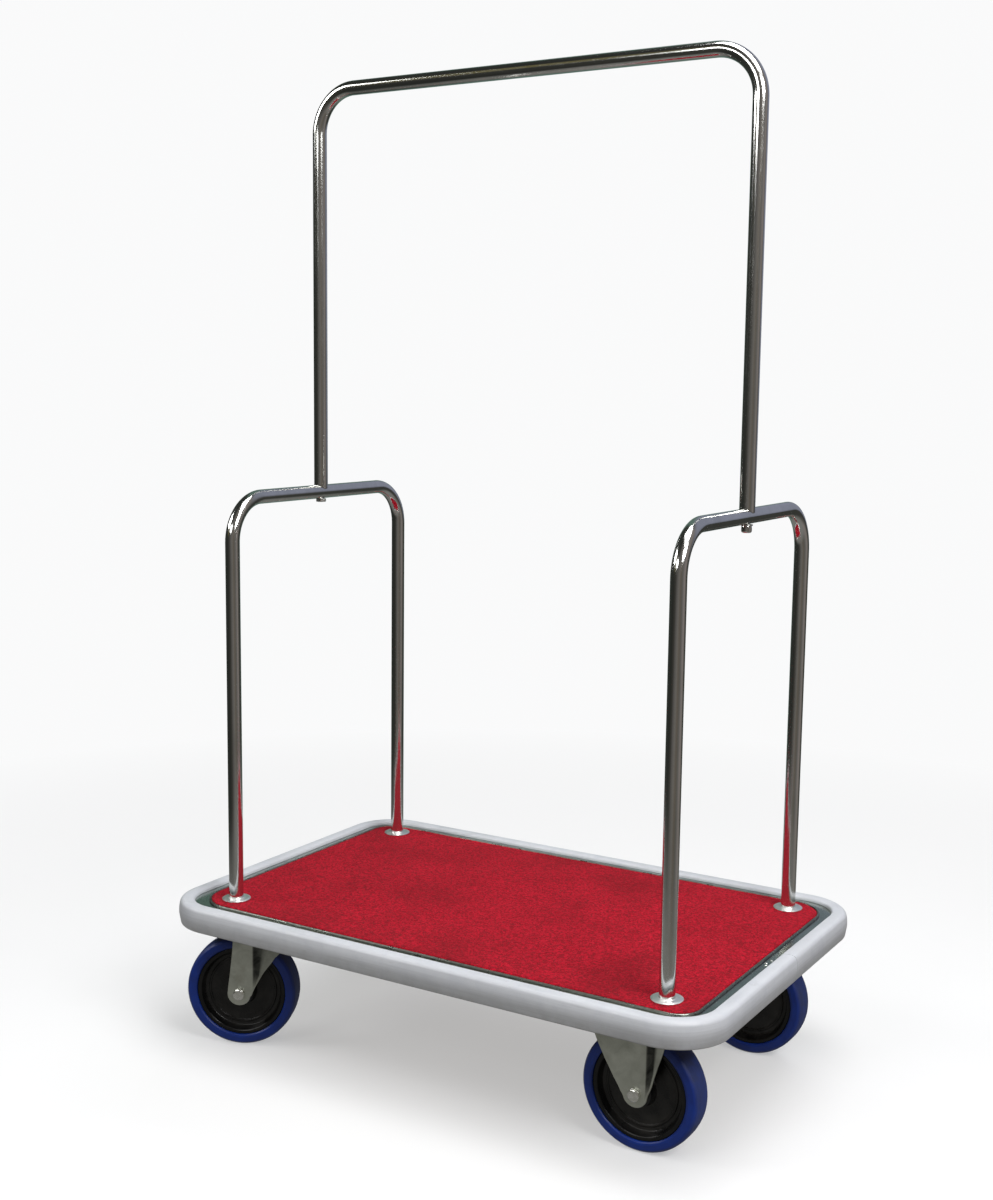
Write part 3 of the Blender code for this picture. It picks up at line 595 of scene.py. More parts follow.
def make_carpet():
    """Pile with real tufts on a thin backing, and loose fibres along its edge and over it."""
    half_y = CARPET_HIGH.y
    top, bottom = CARPET_HIGH.z, CARPET_LOW.z
    spacing = 0.003
    columns, rows = (round(2 * half / spacing) for half in (CARPET_HIGH.x, half_y))
    width = columns + 1
    hole = TUBE_RADIUS + 0.004
    points = []
    for row in range(rows + 1):
        # Rows lie slightly closer together at the front and the back edge
        y = half_y * math.cos(math.pi * (1 - row / rows)) * 0.08 + (2 * row / rows - 1) * half_y * 0.92
        left, right = carpet_half_widths(y)
        for column in range(width):
            x = -left + (left + right) * (column / columns)
            rim = min(x + left, right - x, half_y - abs(y))
            tuft = 0.00042 * uneven(x, y, 290) + 0.0003 * uneven(x, y, 120, 3.1)
            tread = 0.00035 * uneven(x, y, 14, 7.7)
            rounding = 0.0016 * (1 - smooth_step(0.0, 0.0045, rim))
            stray = 0.0006 * uneven(x, y, 90, 5.0) if rim < 1e-4 else 0.0
            z = top - 0.0007 + tuft + tread - rounding
            points.append((x + stray, y - math.copysign(abs(stray), y), min(z, top - 0.00005)))
    faces = []
    for a, b, c, d in ring_faces(rows + 1, width, closed_count=False):
        x, y = points[a][0] + spacing / 2, points[a][1] + spacing / 2
        if all(math.hypot(x - px, y - py) > hole for px, py in POSTS):
            faces.append((a, b, c, d))
    edge = border(rows + 1, width)
    skirt = len(points)
    points += [(points[i][0], points[i][1], bottom + 0.001) for i in edge]
    for i, (a, b) in enumerate(zip(edge, edge[1:] + edge[:1])):
        faces.append((b, a, skirt + i, skirt + (i + 1) % len(edge)))
    pile = add_piece("carpet_pile", Shape(points, faces), "carpet", "cart", ["carpet"], turn_out=False, sharp=80)

    path = rounded_path(CARPET_HIGH.x, half_y, CARPET_RADII)[:-1]
    points = [(x - 0.0006 * nx, y - 0.0006 * ny, z) for z in (bottom, bottom + 0.0009) for x, y, nx, ny in path]
    plate = Shape(points, ring_faces(2, len(path)) + caps(points, len(path)))
    under = add_piece("carpet_backing", plate, "backing", "cart")

    fibres = make_fibres(top)


def make_fibres(top):
    """Thin bent strands of yarn that stand out of the pile, a third of them along its cut edge."""
    rng = np.random.default_rng(seed=41)
    count = 9000
    strands = Shape()
    path = rounded_path(CARPET_HIGH.x, CARPET_HIGH.y, CARPET_RADII, step=0.01)
    for number in range(count):
        if number % 3 == 0:
            x, y, nx, ny = path[rng.integers(len(path) - 1)]
            slide = rng.uniform(-0.005, 0.005)
            x, y = x - ny * slide - nx * 0.0008, y + nx * slide - ny * 0.0008
            lean = Vector((nx, ny, 0)) * rng.uniform(-0.2, 0.7)
            z = top - rng.uniform(0.0015, 0.0035)
        else:
            y = rng.uniform(-0.99, 0.99) * CARPET_HIGH.y
            left, right = carpet_half_widths(y)
            x = rng.uniform(-left + 0.002, right - 0.002)
            lean = Vector((rng.uniform(-1, 1), rng.uniform(-1, 1), 0))
            z = top - 0.0014
        if any(math.hypot(x - px, y - py) < 0.028 for px, py in POSTS):
            continue
        length = rng.uniform(0.001, 0.0022)
        girth = rng.uniform(0.00012, 0.00024)
        root = Vector((x, y, z))
        knee = root + Vector((lean.x * 0.3, lean.y * 0.3, 0.8)) * length * 0.6
        tip = knee + Vector((lean.x, lean.y, 0.25)) * length * 0.5
        tip.z = min(tip.z, top + 0.0004)
        turn = rng.uniform(0, 2 * math.pi)
        ring = [Vector((math.cos(turn + a), math.sin(turn + a), 0)) * girth for a in (0, 2.094, 4.188)]
        points = [root + r for r in ring] + [knee + r * 0.8 for r in ring] + [tip]
        faces = [(0, 2, 1)] + ring_faces(2, 3) + [(3, 4, 6), (4, 5, 6), (5, 3, 6)]
        strands.take(Shape(points, faces))
    return add_piece("carpet_fibres", strands, "carpet", "cart", turn_out=False)


def make_trim_pins():
    """Domed pins in the margin on both sides of the joint in the carpet's bead."""
    pins = Shape()
    x = (TRIM_HIGH.x + BUMPER_HIGH.x - BUMPER_LIP) / 2
    radius, tall = 0.0024, 0.0011
    turns = [math.pi / 2 * i / 6 for i in range(6)]
    dome = [(0, 0)] + [(radius * math.cos(a), tall * math.sin(a)) for a in turns] + [(0, tall)]
    for shift, inset in ((-0.013, 0.0), (0.011, 0.0), (-0.004, 0.003)):
        pins.take(lathe(dome, 24), at(x - inset, TRIM_JOINT_Y + shift, SHEET_TOP))
    add_piece("trim_joint_pins", pins, "fastener", "cart")


def make_trim():
    """A half-round bead along the carpet's cut edge, butted at the right end."""
    low, high = TRIM_LOW.z, TRIM_HIGH.z
    width = TRIM_HIGH.x - CARPET_HIGH.x - GAP
    section = fillet([(0.0, low, 0.0002), (0.0, high, 0.0016), (width, high, 0.0016), (width, low, 0.0002)], 5)
    radii = [radius + width for radius in CARPET_RADII]
    path = rounded_path(TRIM_HIGH.x, TRIM_HIGH.y, radii, start_y=TRIM_JOINT_Y, step=0.02)
    add_piece("carpet_edge_bead", sweep(path, section, ends=0.0012), "trim", "cart", ["carpet_trim"])


def make_underframe_screws():
    """Countersunk wood screws through the underframe rails."""
    head = [
        (0, -0.0006), (0.0011, -0.0006), (0.0013, -0.0013), (0.004, -0.0009), (0.0047, -0.0001),
        (0.0047, 0.0004), (0, 0.0004),
    ]
    screws = Shape()
    for rail in ("rail_front", "rail_back"):
        low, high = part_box(rail)
        for i in range(7):
            x = low.x + 0.03 + (high.x - low.x - 0.06) * i / 6
            screws.take(lathe(head, 20), at(x, (low.y + high.y) / 2, low.z - 0.0006))
    add_piece("underframe_screws", screws, "fastener", "cart")


# ---- hoops


def hoop_stations(half_span, bottom, top, lead=16, bend_steps=22, over=14):
    """(across, up, tangent across, tangent up, bend share) along an upside-down U."""
    shoulder = top - BEND_RADIUS
    stations = [(-half_span, bottom + (shoulder - bottom) * i / lead, 0.0, 1.0, 0.0) for i in range(lead)]
    for i in range(bend_steps + 1):
        angle = math.pi - math.pi / 2 * i / bend_steps
        c, s = math.cos(angle), math.sin(angle)
        share = math.sin(math.pi * i / bend_steps)
        stations.append((BEND_RADIUS - half_span + BEND_RADIUS * c, shoulder + BEND_RADIUS * s, s, -c, share))
    reach = half_span - BEND_RADIUS
    for i in range(1, over):
        stations.append((-reach + 2 * reach * i / over, top, 1.0, 0.0, 0.0))
    mirrored = [(-a, z, ta, -tz, share) for a, z, ta, tz, share in reversed(stations[: lead + bend_steps + 1])]
    return stations + mirrored


def tube_shape(stations, place, sides=36, cope=None):
    """A hollow tube along stations, slightly flattened in its bends; place(across, side, up)."""
    points = []
    for radius, order in ((TUBE_RADIUS, stations), (TUBE_RADIUS - TUBE_WALL, stations[::-1])):
        for number, (across, up, ta, tz, share) in enumerate(order):
            for side in range(sides):
                angle = 2 * math.pi * side / sides
                out = radius * (1 - 0.045 * share) * math.cos(angle)
                a, z = across - tz * out, up + ta * out
                if cope and number in (0, len(order) - 1):
                    z = cope(a)
                points.append(place(a, radius * math.sin(angle), z))
    return Shape(points, ring_faces(2 * len(stations), sides, closed_rows=True))


def make_hoops():
    """A side hoop across each end, and the tall hoop, whose legs are coped over the side hoops' bars."""
    stations = hoop_stations(POST_Y, POST_LOW.z, SIDE_HOOP_TOP)
    for end, sx in (("left", -1), ("right", 1)):
        tube = tube_shape(stations, lambda across, side, up, x=sx * POST_X: (x + side, across, up))
        add_piece(f"side_hoop_tube_{end}", tube, "chrome", "cart", [f"side_hoop_{end}"])

    def saddle(across):
        beside = abs(abs(across) - POST_X)
        return SIDE_HOOP_TOP + max(0.006, math.sqrt(max(0.0, (TUBE_RADIUS + GAP) ** 2 - beside**2)))

    stations = hoop_stations(POST_X, SIDE_HOOP_TOP + 0.02, TALL_HOOP_TOP, lead=20, over=22)
    foot = SIDE_HOOP_TOP + 0.012
    stations = [(-POST_X, foot, 0.0, 1.0, 0.0)] + stations + [(POST_X, foot, 0.0, -1.0, 0.0)]
    tube = tube_shape(stations, lambda *point: point, cope=saddle)
    add_piece("tall_hoop_tube", tube, "chrome", "cart", ["tall_hoop"])


def make_flanges():
    """Thin domed chrome floor flanges with a rolled edge and a raised neck round each post."""
    hole = TUBE_RADIUS + GAP
    for name in CORNERS:
        low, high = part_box(f"post_flange_{name}")
        middle = (low + high) / 2
        radius = (high.x - low.x) / 2
        tall = high.z - low.z
        outline = fillet([
            (hole, low.z, 0.0), (hole, high.z, 0.0004), (hole + 0.0016, high.z, 0.001),
            (hole + 0.0028, low.z + 0.68 * tall, 0.0016), (radius - 0.003, low.z + 0.56 * tall, 0.006),
            (radius, low.z + 0.16 * tall, 0.0009), (radius, low.z, 0.0003),
        ], 5)
        disc = Shape().take(lathe(outline, 64), at(middle.x, middle.y))
        add_piece(f"flange_disc_{name}", disc, "pressed_chrome", "cart", [f"post_flange_{name}"])


def hex_head(across_flats, height, washer=0.0, washer_height=0.0):
    """The outline of a hex head on its washer face, standing up from Z = 0."""
    flat = across_flats / 2
    corner = flat / math.cos(math.pi / 6)
    face = []
    if washer:
        face = [(washer - 0.0003, 0), (washer, 0.0003), (washer, washer_height - 0.0003)]
        face.append((washer - 0.0004, washer_height))
    top = washer_height + height
    return [
        (0, 0), *face, (flat * 0.97, washer_height), (flat * 0.97, washer_height + 0.0004),
        (corner, washer_height + 0.0004), (corner, top - 0.0016), (corner - 0.0007, top - 0.0008),
        (flat * 0.95, top - 0.0005), (flat * 0.75, top - 0.0003), (flat * 0.45, top - 0.0001), (0, top),
    ]


def hex_lathe(outline, across_flats, washer=0.0):
    """A turned outline that stays inside a hexagon, but for a washer face of that radius."""

    def limit(radius, angle):
        if washer and radius >= washer - 0.0005:
            return radius
        from_flat = (angle % (math.pi / 3)) - math.pi / 6
        return min(radius, across_flats / 2 / math.cos(from_flat))

    return lathe(outline, limit=limit)


def make_tall_hoop_fixings():
    """Left a low hex head under the bar, right a washer and a domed cap."""
    low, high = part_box("tall_hoop_bolt")
    under = SIDE_HOOP_TOP - TUBE_RADIUS - GAP
    head = hex_lathe(hex_head(HEX_FLATS, under - low.z), HEX_FLATS)
    bolt = Shape().take(head, onto((-POST_X, 0, under), DOWN))
    shank = [(0, -0.001), (0.004, -0.001), (0.004, high.z - under), (0, high.z - under)]
    bolt.take(lathe(shank, 24), at(-POST_X, 0, under))
    add_piece("hoop_hex_bolt", bolt, "fastener", "cart", ["tall_hoop_bolt"])

    low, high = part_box("tall_hoop_washer")
    bore, radius = 0.0043, (high.x - low.x) / 2
    ring = [(bore, low.z, 0.0002), (radius, low.z, 0.0007), (radius, high.z, 0.0007), (bore, high.z, 0.0002)]
    washer = Shape().take(lathe(fillet(ring, 4), 40), at(POST_X, 0))
    add_piece("hoop_washer", washer, "chrome", "cart", ["tall_hoop_washer"])

    low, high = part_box("tall_hoop_cap_nut")
    radius, round_off = (high.x - low.x) / 2, 0.0034
    turns = [math.pi / 2 * i / 8 for i in range(9)]
    dome = [(radius + round_off * (math.sin(a) - 1), low.z + round_off * (1 - math.cos(a))) for a in turns]
    dome = [(0, low.z)] + dome + [
        (radius, high.z - 0.0026), (radius - 0.0004, high.z - 0.0022), (radius - 0.0004, high.z - 0.0016),
        (radius, high.z - 0.0012), (radius - 0.0003, high.z), (0.0046, high.z),
        (0.0046, high.z - 0.007), (0, high.z - 0.007),
    ]
    nut = Shape().take(lathe(dome, 40), at(POST_X, 0))
    add_piece("hoop_cap_nut", nut, "chrome", "cart", ["tall_hoop_cap_nut"])


# ---- casters


def axle_of(corner):
    joint = JOINTS[f"{corner}_wheel_spin"]
    return Vector(joint["pos_m"]), Vector(joint["axis"]).normalized()


def mark(piece, name, values):
    """A point attribute that the piece's material reads."""
    attribute = piece.data.attributes.new(name, "FLOAT", "POINT")
    attribute.data.foreach_set("value", np.array(values, np.float32))


def both_faces(upper):
    """A closed outline of (radius, height, fillet radius) from its upper half."""
    return upper + [(radius, -height, turn) for radius, height, turn in reversed(upper)]


def make_wheel(corner):
    """A hub moulding, a tread ring and a roller bearing; the hub holds dust and the tread is worn."""
    center, axis = axle_of(corner)
    place = onto(center, axis)
    body = f"wheel_{corner}"
    tread_low, tread_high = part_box(f"wheel_tread_{corner}")
    radius = (tread_high.z - tread_low.z) / 2
    rim, rim_half, boss_half, half = radius - RUBBER, 0.021, 0.0285, 0.0245

    hub = lathe(fillet(both_faces([
        (0.0153, boss_half, 0.0006), (0.0205, boss_half, 0.0008), (0.024, boss_half - 0.003, 0.002),
        (0.0262, 0.01, 0.004), (0.042, 0.0074, 0.006), (0.058, 0.0074, 0.001), (0.0592, 0.0092, 0.0008),
        (0.0614, 0.0092, 0.0008), (0.0626, 0.0074, 0.001), (0.0688, 0.008, 0.003),
        (0.0732, rim_half - 0.001, 0.0022), (0.075, rim_half, 0.0012), (rim - 0.001, rim_half, 0.0008),
        (rim - 0.0002, rim_half - 0.001, 0.0004),
    ]), 4), 72)
    moulding = Shape().take(hub, place)
    piece = add_piece(f"hub_moulding_{corner}", moulding, "black_hub", body, [f"wheel_hub_{corner}"])
    mark(piece, "dust", [1 - smooth_step(0.008, 0.019, abs(z)) for _, _, z in hub.points])

    tread = lathe(fillet(both_faces([
        (rim + GAP, half - 0.0024, 0.0006), (rim + 0.002, half - 0.0006, 0.0012),
        (rim + 0.005, half, 0.003), (radius - 0.0055, half - 0.001, 0.004),
        (radius - 0.0012, half - 0.0058, 0.0034), (radius - 0.0001, half - 0.015, 0.012),
        (radius, 0.0006, 0.0),
    ]), 5), 96)
    ring = Shape().take(tread, place)
    piece = add_piece(f"tread_ring_{corner}", ring, "blue_tread", body, [f"wheel_tread_{corner}"])
    worn = (radius - 0.0042, radius - 0.0004)
    mark(piece, "wear", [smooth_step(*worn, math.hypot(x, y)) for x, y, _ in tread.points])

    bearing = lathe(fillet(both_faces([
        (0.0053, boss_half + 0.0015, 0.0003), (0.0078, boss_half + 0.0015, 0.0003),
        (0.0084, boss_half + 0.0007, 0.0002), (0.01, boss_half + 0.0007, 0.0002),
        (0.0106, boss_half + 0.0012, 0.0003), (0.0144, boss_half + 0.0004, 0.0008),
        (0.015, boss_half - 0.003, 0.0006),
    ]), 3), 40)
    add_piece(f"bearing_{corner}", Shape().take(bearing, place), "fastener", body, [f"wheel_bearing_{corner}"])


def make_axle_bolt(corner, body):
    """Hex bolt on a washer at one side of the fork, nut and threaded end at the other."""
    center, axis = axle_of(corner)
    nut_low, nut_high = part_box(f"axle_nut_{corner}")
    to_nut = axis if ((nut_low + nut_high) / 2 - center).dot(axis) > 0 else -axis
    face = FORK_SPREAD + FORK_THICKNESS / 2 + GAP
    outline = hex_head(HEX_FLATS, 0.0052, AXLE_WASHER, 0.0013)
    bolt = Shape().take(hex_lathe(outline, HEX_FLATS, AXLE_WASHER), onto(center - to_nut * face, -to_nut))
    end = face + 0.012
    pitch = 0.00075
    thread = [(0, -face - 0.001), (0.005, -face - 0.001), (0.005, face + 0.0076)]
    z = face + 0.0078
    while z < end - 0.0018:
        thread += [(0.0043, z + 0.0004), (0.005, z + pitch)]
        z += pitch
    thread += [(0.004, end - 0.0002), (0, end)]
    bolt.take(lathe(thread, 24), onto(center, to_nut))
    add_piece(f"axle_hex_bolt_{corner}", bolt, "fastener", body, [f"axle_bolt_{corner}"])

    point = HEX_FLATS / 2 / math.cos(math.pi / 6)
    ring = [
        (0.0053, 0.0), (0.0096, 0.0), (AXLE_WASHER, 0.0003), (AXLE_WASHER, 0.001), (0.0092, 0.0013),
        (0.0083, 0.0013), (point, 0.0018), (point, 0.0062), (0.0091, 0.0069), (0.008, 0.0075),
        (0.0066, 0.0079), (0.0053, 0.0079),
    ]
    nut = Shape().take(hex_lathe(ring, HEX_FLATS, AXLE_WASHER), onto(center + to_nut * face, to_nut))
    add_piece(f"axle_hex_nut_{corner}", nut, "fastener", body, [f"axle_nut_{corner}"])


def between(knots, z):
    """The value at z on a smooth line through (z, value) knots."""
    zs, values = zip(*knots)
    if z <= zs[0]:
        return values[0]
    i = next((i for i, height in enumerate(zs) if z <= height), None)
    if i is None:
        return values[-1]
    before, a, b, after = (values[0], *values, values[-1])[i - 1 : i + 3]
    m0, m1 = (b - before) / 2, (after - a) / 2
    t = (z - zs[i - 1]) / (zs[i] - zs[i - 1])
    return (2*t**3 - 3*t**2 + 1) * a + (t**3 - 2*t**2 + t) * m0 + (3*t**2 - 2*t**3) * b + (t**3 - t**2) * m1


def fork_sheet(left, right, crease, step, fade, drop, top, fold, wing_shade):
    """The outer face of a fork's leg: (across, out, up) points, its columns and each point's share of painted
    shade.

    left and right are its edges as (height above the axle, across) knots, from where each leaves
    the round end. Past the crease the face steps back by drop within step, which fades in over
    the heights in fade. fold is the radius with which it turns in to the crown at the top, and
    wing_shade how much painted shade lies past its step; the step itself gets full painted shade.
    """
    rows = 72
    # Where a column lies: 0 to 1 up to the crease, 1 to 2 in the step, 2 to 3 past it
    columns = [i / 9 for i in range(10)] + [1 + i / 6 for i in range(1, 7)] + [2 + i / 7 for i in range(1, 8)]
    bottom = -FORK_END_RADIUS
    forward = 1 if crease > 0 else -1
    points, painted_shade = [], []
    for row in range(rows + 1):
        # Rows lie closest together at the round end
        t = row / rows
        rise = min(t * (0.55 + 0.45 * t) * (0.12 * t + 0.88), t**1.25)
        z = bottom + (top - bottom) * rise
        half = math.sqrt(max(1e-9, FORK_END_RADIUS**2 - min(z, 0.0199) ** 2))
        low = -half if z < left[0][0] else between(left, z)
        high = half if z < right[0][0] else between(right, z)
        near, far = (low, high) if forward > 0 else (high, low)
        line = crease
        if forward * (far - crease) < 0.004:
            line = far - forward * 0.3 * min(abs(far - near), 0.013)
        shoulder = line + forward * min(step, 0.6 * abs(far - line))
        depth = drop * smooth_step(fade[0], fade[1], z)
        stops = (near, line, shoulder, far)
        up, turned_in = z, 0.0
        if z > top - fold:
            angle = (z - (top - fold)) / fold * math.pi / 2
            up = top - fold + fold * math.sin(angle)
            turned_in = fold * (1 - math.cos(angle))
        for s in columns:
            part = max(0, math.ceil(s) - 1)
            x = stops[part] + (stops[part + 1] - stops[part]) * (s - part)
            fallen = smooth_step(0.0, 1.0, forward * (x - line) / step)
            edge = 0.0006 * (1 - smooth_step(0.0, 0.0016, min(abs(x - near), abs(far - x))))
            points.append((x, FORK_SPREAD + FORK_THICKNESS / 2 - depth * fallen - turned_in - edge, up))
            # Painted shade: the step band, and the face beyond it by a share, darkened as if in shadow
            in_step = smooth_step(0.95, 1.25, s) * (1 - smooth_step(2.1, 2.55, s))
            painted_shade.append(max(in_step, wing_shade if s > 2 else 0.0) * depth / drop)
    return points, len(columns), painted_shade


def thick(points, columns, depth):
    """A closed shape of rows of points and a copy of them that is depth further in (towards Y = 0)."""
    count = len(points)
    rows = count // columns
    faces = ring_faces(rows, columns, closed_count=False)
    faces += [tuple(count + i for i in reversed(face)) for face in faces]
    edge = border(rows, columns)
    faces += [(a, b, count + b, count + a) for a, b in zip(edge, edge[1:] + edge[:1])]
    return Shape(points + [(x, out - depth, up) for x, out, up in points], faces)


def make_fork(corner, leg, place, body, *rest):
    """A fork of two legs, mirrored about its middle plane, and the rest, with its axle bolt.

    place maps (along, across, up) from the middle of the axle.
    """
    points, columns, painted_shade = leg
    solid = thick(points, columns, FORK_THICKNESS)
    fork = Shape()
    for side in (-1, 1):
        fork.take(Shape([place(x, side * out, up) for x, out, up in solid.points], solid.faces))
    for shape in rest:
        fork.take(shape)
    name = f"fork_pressing_{corner}"
    piece = add_piece(name, fork, "zinc_steel", body, [f"fork_{corner}"], sharp=40)
    # Painted shade on both faces of both legs, and nothing on the rest
    mark(piece, "painted_shade", painted_shade * 4 + [0.0] * (len(fork.points) - 4 * len(painted_shade)))
    make_axle_bolt(corner, body)


def make_fixed_caster(corner):
    """Plate and legs of one pressing under the board."""
    center, _ = axle_of(corner)
    low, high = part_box(f"fork_{corner}")
    plate_x = (low.x + high.x) / 2
    plate_bottom = high.z - 0.004
    top = plate_bottom - center.z + 0.0004
    left = [
        (-0.01, -0.0185), (0.0, -0.0243), (0.022, -0.038), (0.047, -0.053),
        (0.08, -0.07), (0.1065, -0.08), (top, -0.0835),
    ]
    right = [
        (-0.0036, 0.0207), (0.01, 0.0243), (0.04, 0.032), (0.083, 0.045),
        (0.108, 0.049), (top, 0.0495),
    ]
    # The last argument sets how much painted shade the leg gets past its step
    leg = fork_sheet(
        left, right, crease=0.0177, step=0.008, fade=(-0.006, 0.022), drop=0.008, top=top, fold=0.005, wing_shade=0.1
    )
    plate = slab((high.x - low.x) / 2, (high.y - low.y) / 2, PLATE_CORNER, plate_bottom, high.z, 0.0008)
    plate = Shape().take(plate, at(plate_x, center.y))
    make_fork(corner, leg, lambda x, y, z: (center.x + x, center.y + y, center.z + z), "cart", plate)
    make_plate_bolts(corner, (plate_x, center.y), plate_bottom)


def make_swivel_caster(corner):
    """A fork with a flat crown and a dished ball seat, which turns about its kingpin."""
    center, _ = axle_of(corner)
    swivel = Vector(JOINTS[f"{corner}_swivel"]["pos_m"])
    along = Vector((center.x - swivel.x, center.y - swivel.y, 0)).normalized()
    side = Vector((-along.y, along.x, 0))
    body = f"swivel_{corner}"
    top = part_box(f"fork_{corner}")[1].z - center.z
    under = top - FORK_THICKNESS

    def place(x, y, z):
        flat = Vector((center.x, center.y, 0)) + along * x + side * y
        return (flat.x, flat.y, center.z + z)

    # Minus is towards the kingpin
    front = [(0.0045, 0.0205), (0.031, 0.0172), (0.062, 0.0135), (0.095, 0.0105), (top, 0.009)]
    back = [
        (-0.0096, -0.0187), (-0.002, -0.0228), (0.036, -0.0415), (0.068, -0.064),
        (0.079, -0.076), (0.108, -0.096), (top, -0.099),
    ]
    # The last argument sets how much painted shade the leg gets past its step
    leg = fork_sheet(
        back, front, crease=-0.0245, step=0.009, fade=(0.004, 0.04), drop=0.007, top=top, fold=0.006, wing_shade=0.4
    )
    length, middle = 0.107, -0.0445
    crown = slab(length / 2, FORK_SPREAD - 0.0045, 0.006, under, top, 0.0006)
    crown.points = [place(x + middle, y, z) for x, y, z in crown.points]
    dish = lathe(fillet([
        (0.0085, under - 0.0028, 0.0008), (0.0225, under - 0.0028, 0.002),
        (0.027, under + 0.0002, 0.001), (0.0085, under + 0.0002, 0.0),
    ], 4), 40)
    offset = (swivel - center).dot(along)
    dish.points = [place(x + offset, y, z) for x, y, z in dish.points]
    make_fork(corner, leg, place, body, crown, dish)
    make_swivel_head(corner, swivel, body)


def make_swivel_head(corner, swivel, body):
    """The top plate and kingpin on the cart, and the ball race that turns with the fork."""
    low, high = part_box(f"swivel_plate_{corner}")
    middle = (low + high) / 2
    plate = slab((high.x - low.x) / 2, (high.y - low.y) / 2, PLATE_CORNER, low.z, high.z, 0.0008)
    plate = Shape().take(plate, at(middle.x, middle.y))
    add_piece(f"swivel_top_plate_{corner}", plate, "zinc_steel", "cart", [f"swivel_plate_{corner}"])
    make_plate_bolts(corner, (middle.x, middle.y), low.z)

    race_low, race_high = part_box(f"swivel_race_{corner}")
    radius = (race_high.x - race_low.x) / 2
    bottom, top = race_low.z, race_high.z
    ring = fillet([
        (0.008, top, 0.0), (radius - 0.0065, top, 0.001), (radius - 0.0045, top - 0.0022, 0.001),
        (radius - 0.0018, top - 0.0032, 0.0012), (radius, top - 0.0052, 0.0016),
        (radius, bottom + 0.0012, 0.0008), (radius - 0.0012, bottom, 0.0005), (0.008, bottom, 0.0),
    ], 4)
    race = Shape().take(lathe(ring, 56), at(swivel.x, swivel.y))
    add_piece(f"ball_race_{corner}", race, "zinc_steel", body, [f"swivel_race_{corner}"])

    low, high = (point.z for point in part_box(f"kingpin_{corner}"))
    pin = [
        (0, low), (0.0075, low), (0.0088, low + 0.0006), (0.009, low + 0.002), (0.0116, low + 0.0022),
        (0.012, low + 0.0028), (0.012, low + 0.0076), (0.006, low + 0.0078), (0.006, high), (0, high),
    ]
    king = Shape().take(lathe(pin, 36), at(swivel.x, swivel.y))
    add_piece(f"king_bolt_{corner}", king, "fastener", "cart", [f"kingpin_{corner}"])


def make_plate_bolts(corner, middle, under):
    """Four hex heads on washers that hold a caster's plate to the board, each at its own angle."""
    bolts = Shape()
    flats, washer = 0.013, 0.008
    outline = hex_head(flats, 0.004, washer, 0.0011)
    for dx in (-0.0535, 0.0535):
        for dy in (-0.0405, 0.0405):
            place = onto((middle[0] + dx, middle[1] + dy, under), DOWN)
            turn = Matrix.Rotation(1700 * dx + 300 * dy, 4, "Z")
            bolts.take(hex_lathe(outline, flats, washer), place @ turn)
    add_piece(f"plate_bolts_{corner}", bolts, "fastener", "cart")


# ---- CAD nodes that stay


def dress_cad_nodes():
    """Gives the CAD nodes that stay in sight, or inside the tubes, their materials."""
    finishes = {"deck_board": "plywood", "deck_sheet": "polished_steel"}
    for name, node in frame["nodes"].items():
        if not node.hide_render:
            node.data.materials.clear()
            node.data.materials.append(MATERIALS[finishes.get(name, "zinc_steel")])


# ---- floor, light and camera


# How bright the studio looks to a reflection, by direction: (share of a turn from -X, colour)
ROOM = (
    (0.0, (0.03, 0.034, 0.03)), (0.14, (0.026, 0.027, 0.024)), (0.22, (0.05, 0.048, 0.042)),
    (0.27, (0.11, 0.104, 0.1)), (0.34, (0.17, 0.158, 0.145)), (0.4, (0.135, 0.115, 0.095)),
    (0.46, (0.125, 0.12, 0.11)), (0.53, (0.23, 0.205, 0.2)), (0.575, (0.245, 0.215, 0.2)),
    (0.61, (0.11, 0.105, 0.095)), (0.65, (0.05, 0.05, 0.045)), (0.765, (0.04, 0.045, 0.04)),
    (0.8, (0.13, 0.2, 0.17)), (0.87, (0.13, 0.2, 0.17)), (0.905, (0.035, 0.04, 0.035)),
    (1.00, (0.03, 0.034, 0.03)),
)
# Soft glows in the room: azimuth and height in degrees, where its edge and its core start, colour
GLOWS = (
    (75, 28, 0.74, 0.92, (0.27, 0.285, 0.365)),
    (-126, 22, 0.955, 0.99, (0.12, 0.105, 0.045)),
)
NEAR_FLOOR = (0.22, 0.217, 0.205)
BACKDROP = (0.955, 0.957, 0.96, 1.0)


def room_color(tree):
    """Looks up ROOM by the direction in which a tree's place lies from the Z axis."""
    parts = tree.add("ShaderNodeSeparateXYZ", {"Vector": tree.place}).outputs
    azimuth = tree.compute("ARCTAN2", parts["Y"], parts["X"])
    walls = tree.add("ShaderNodeValToRGB", {"Fac": tree.spread(azimuth, -math.pi, math.pi)})
    ramp = walls.color_ramp
    while len(ramp.elements) < len(ROOM):
        ramp.elements.new(0.5)
    for element, (position, color) in zip(ramp.elements, ROOM):
        element.position = position
        element.color = (*color, 1.0)
    return walls.outputs["Color"]


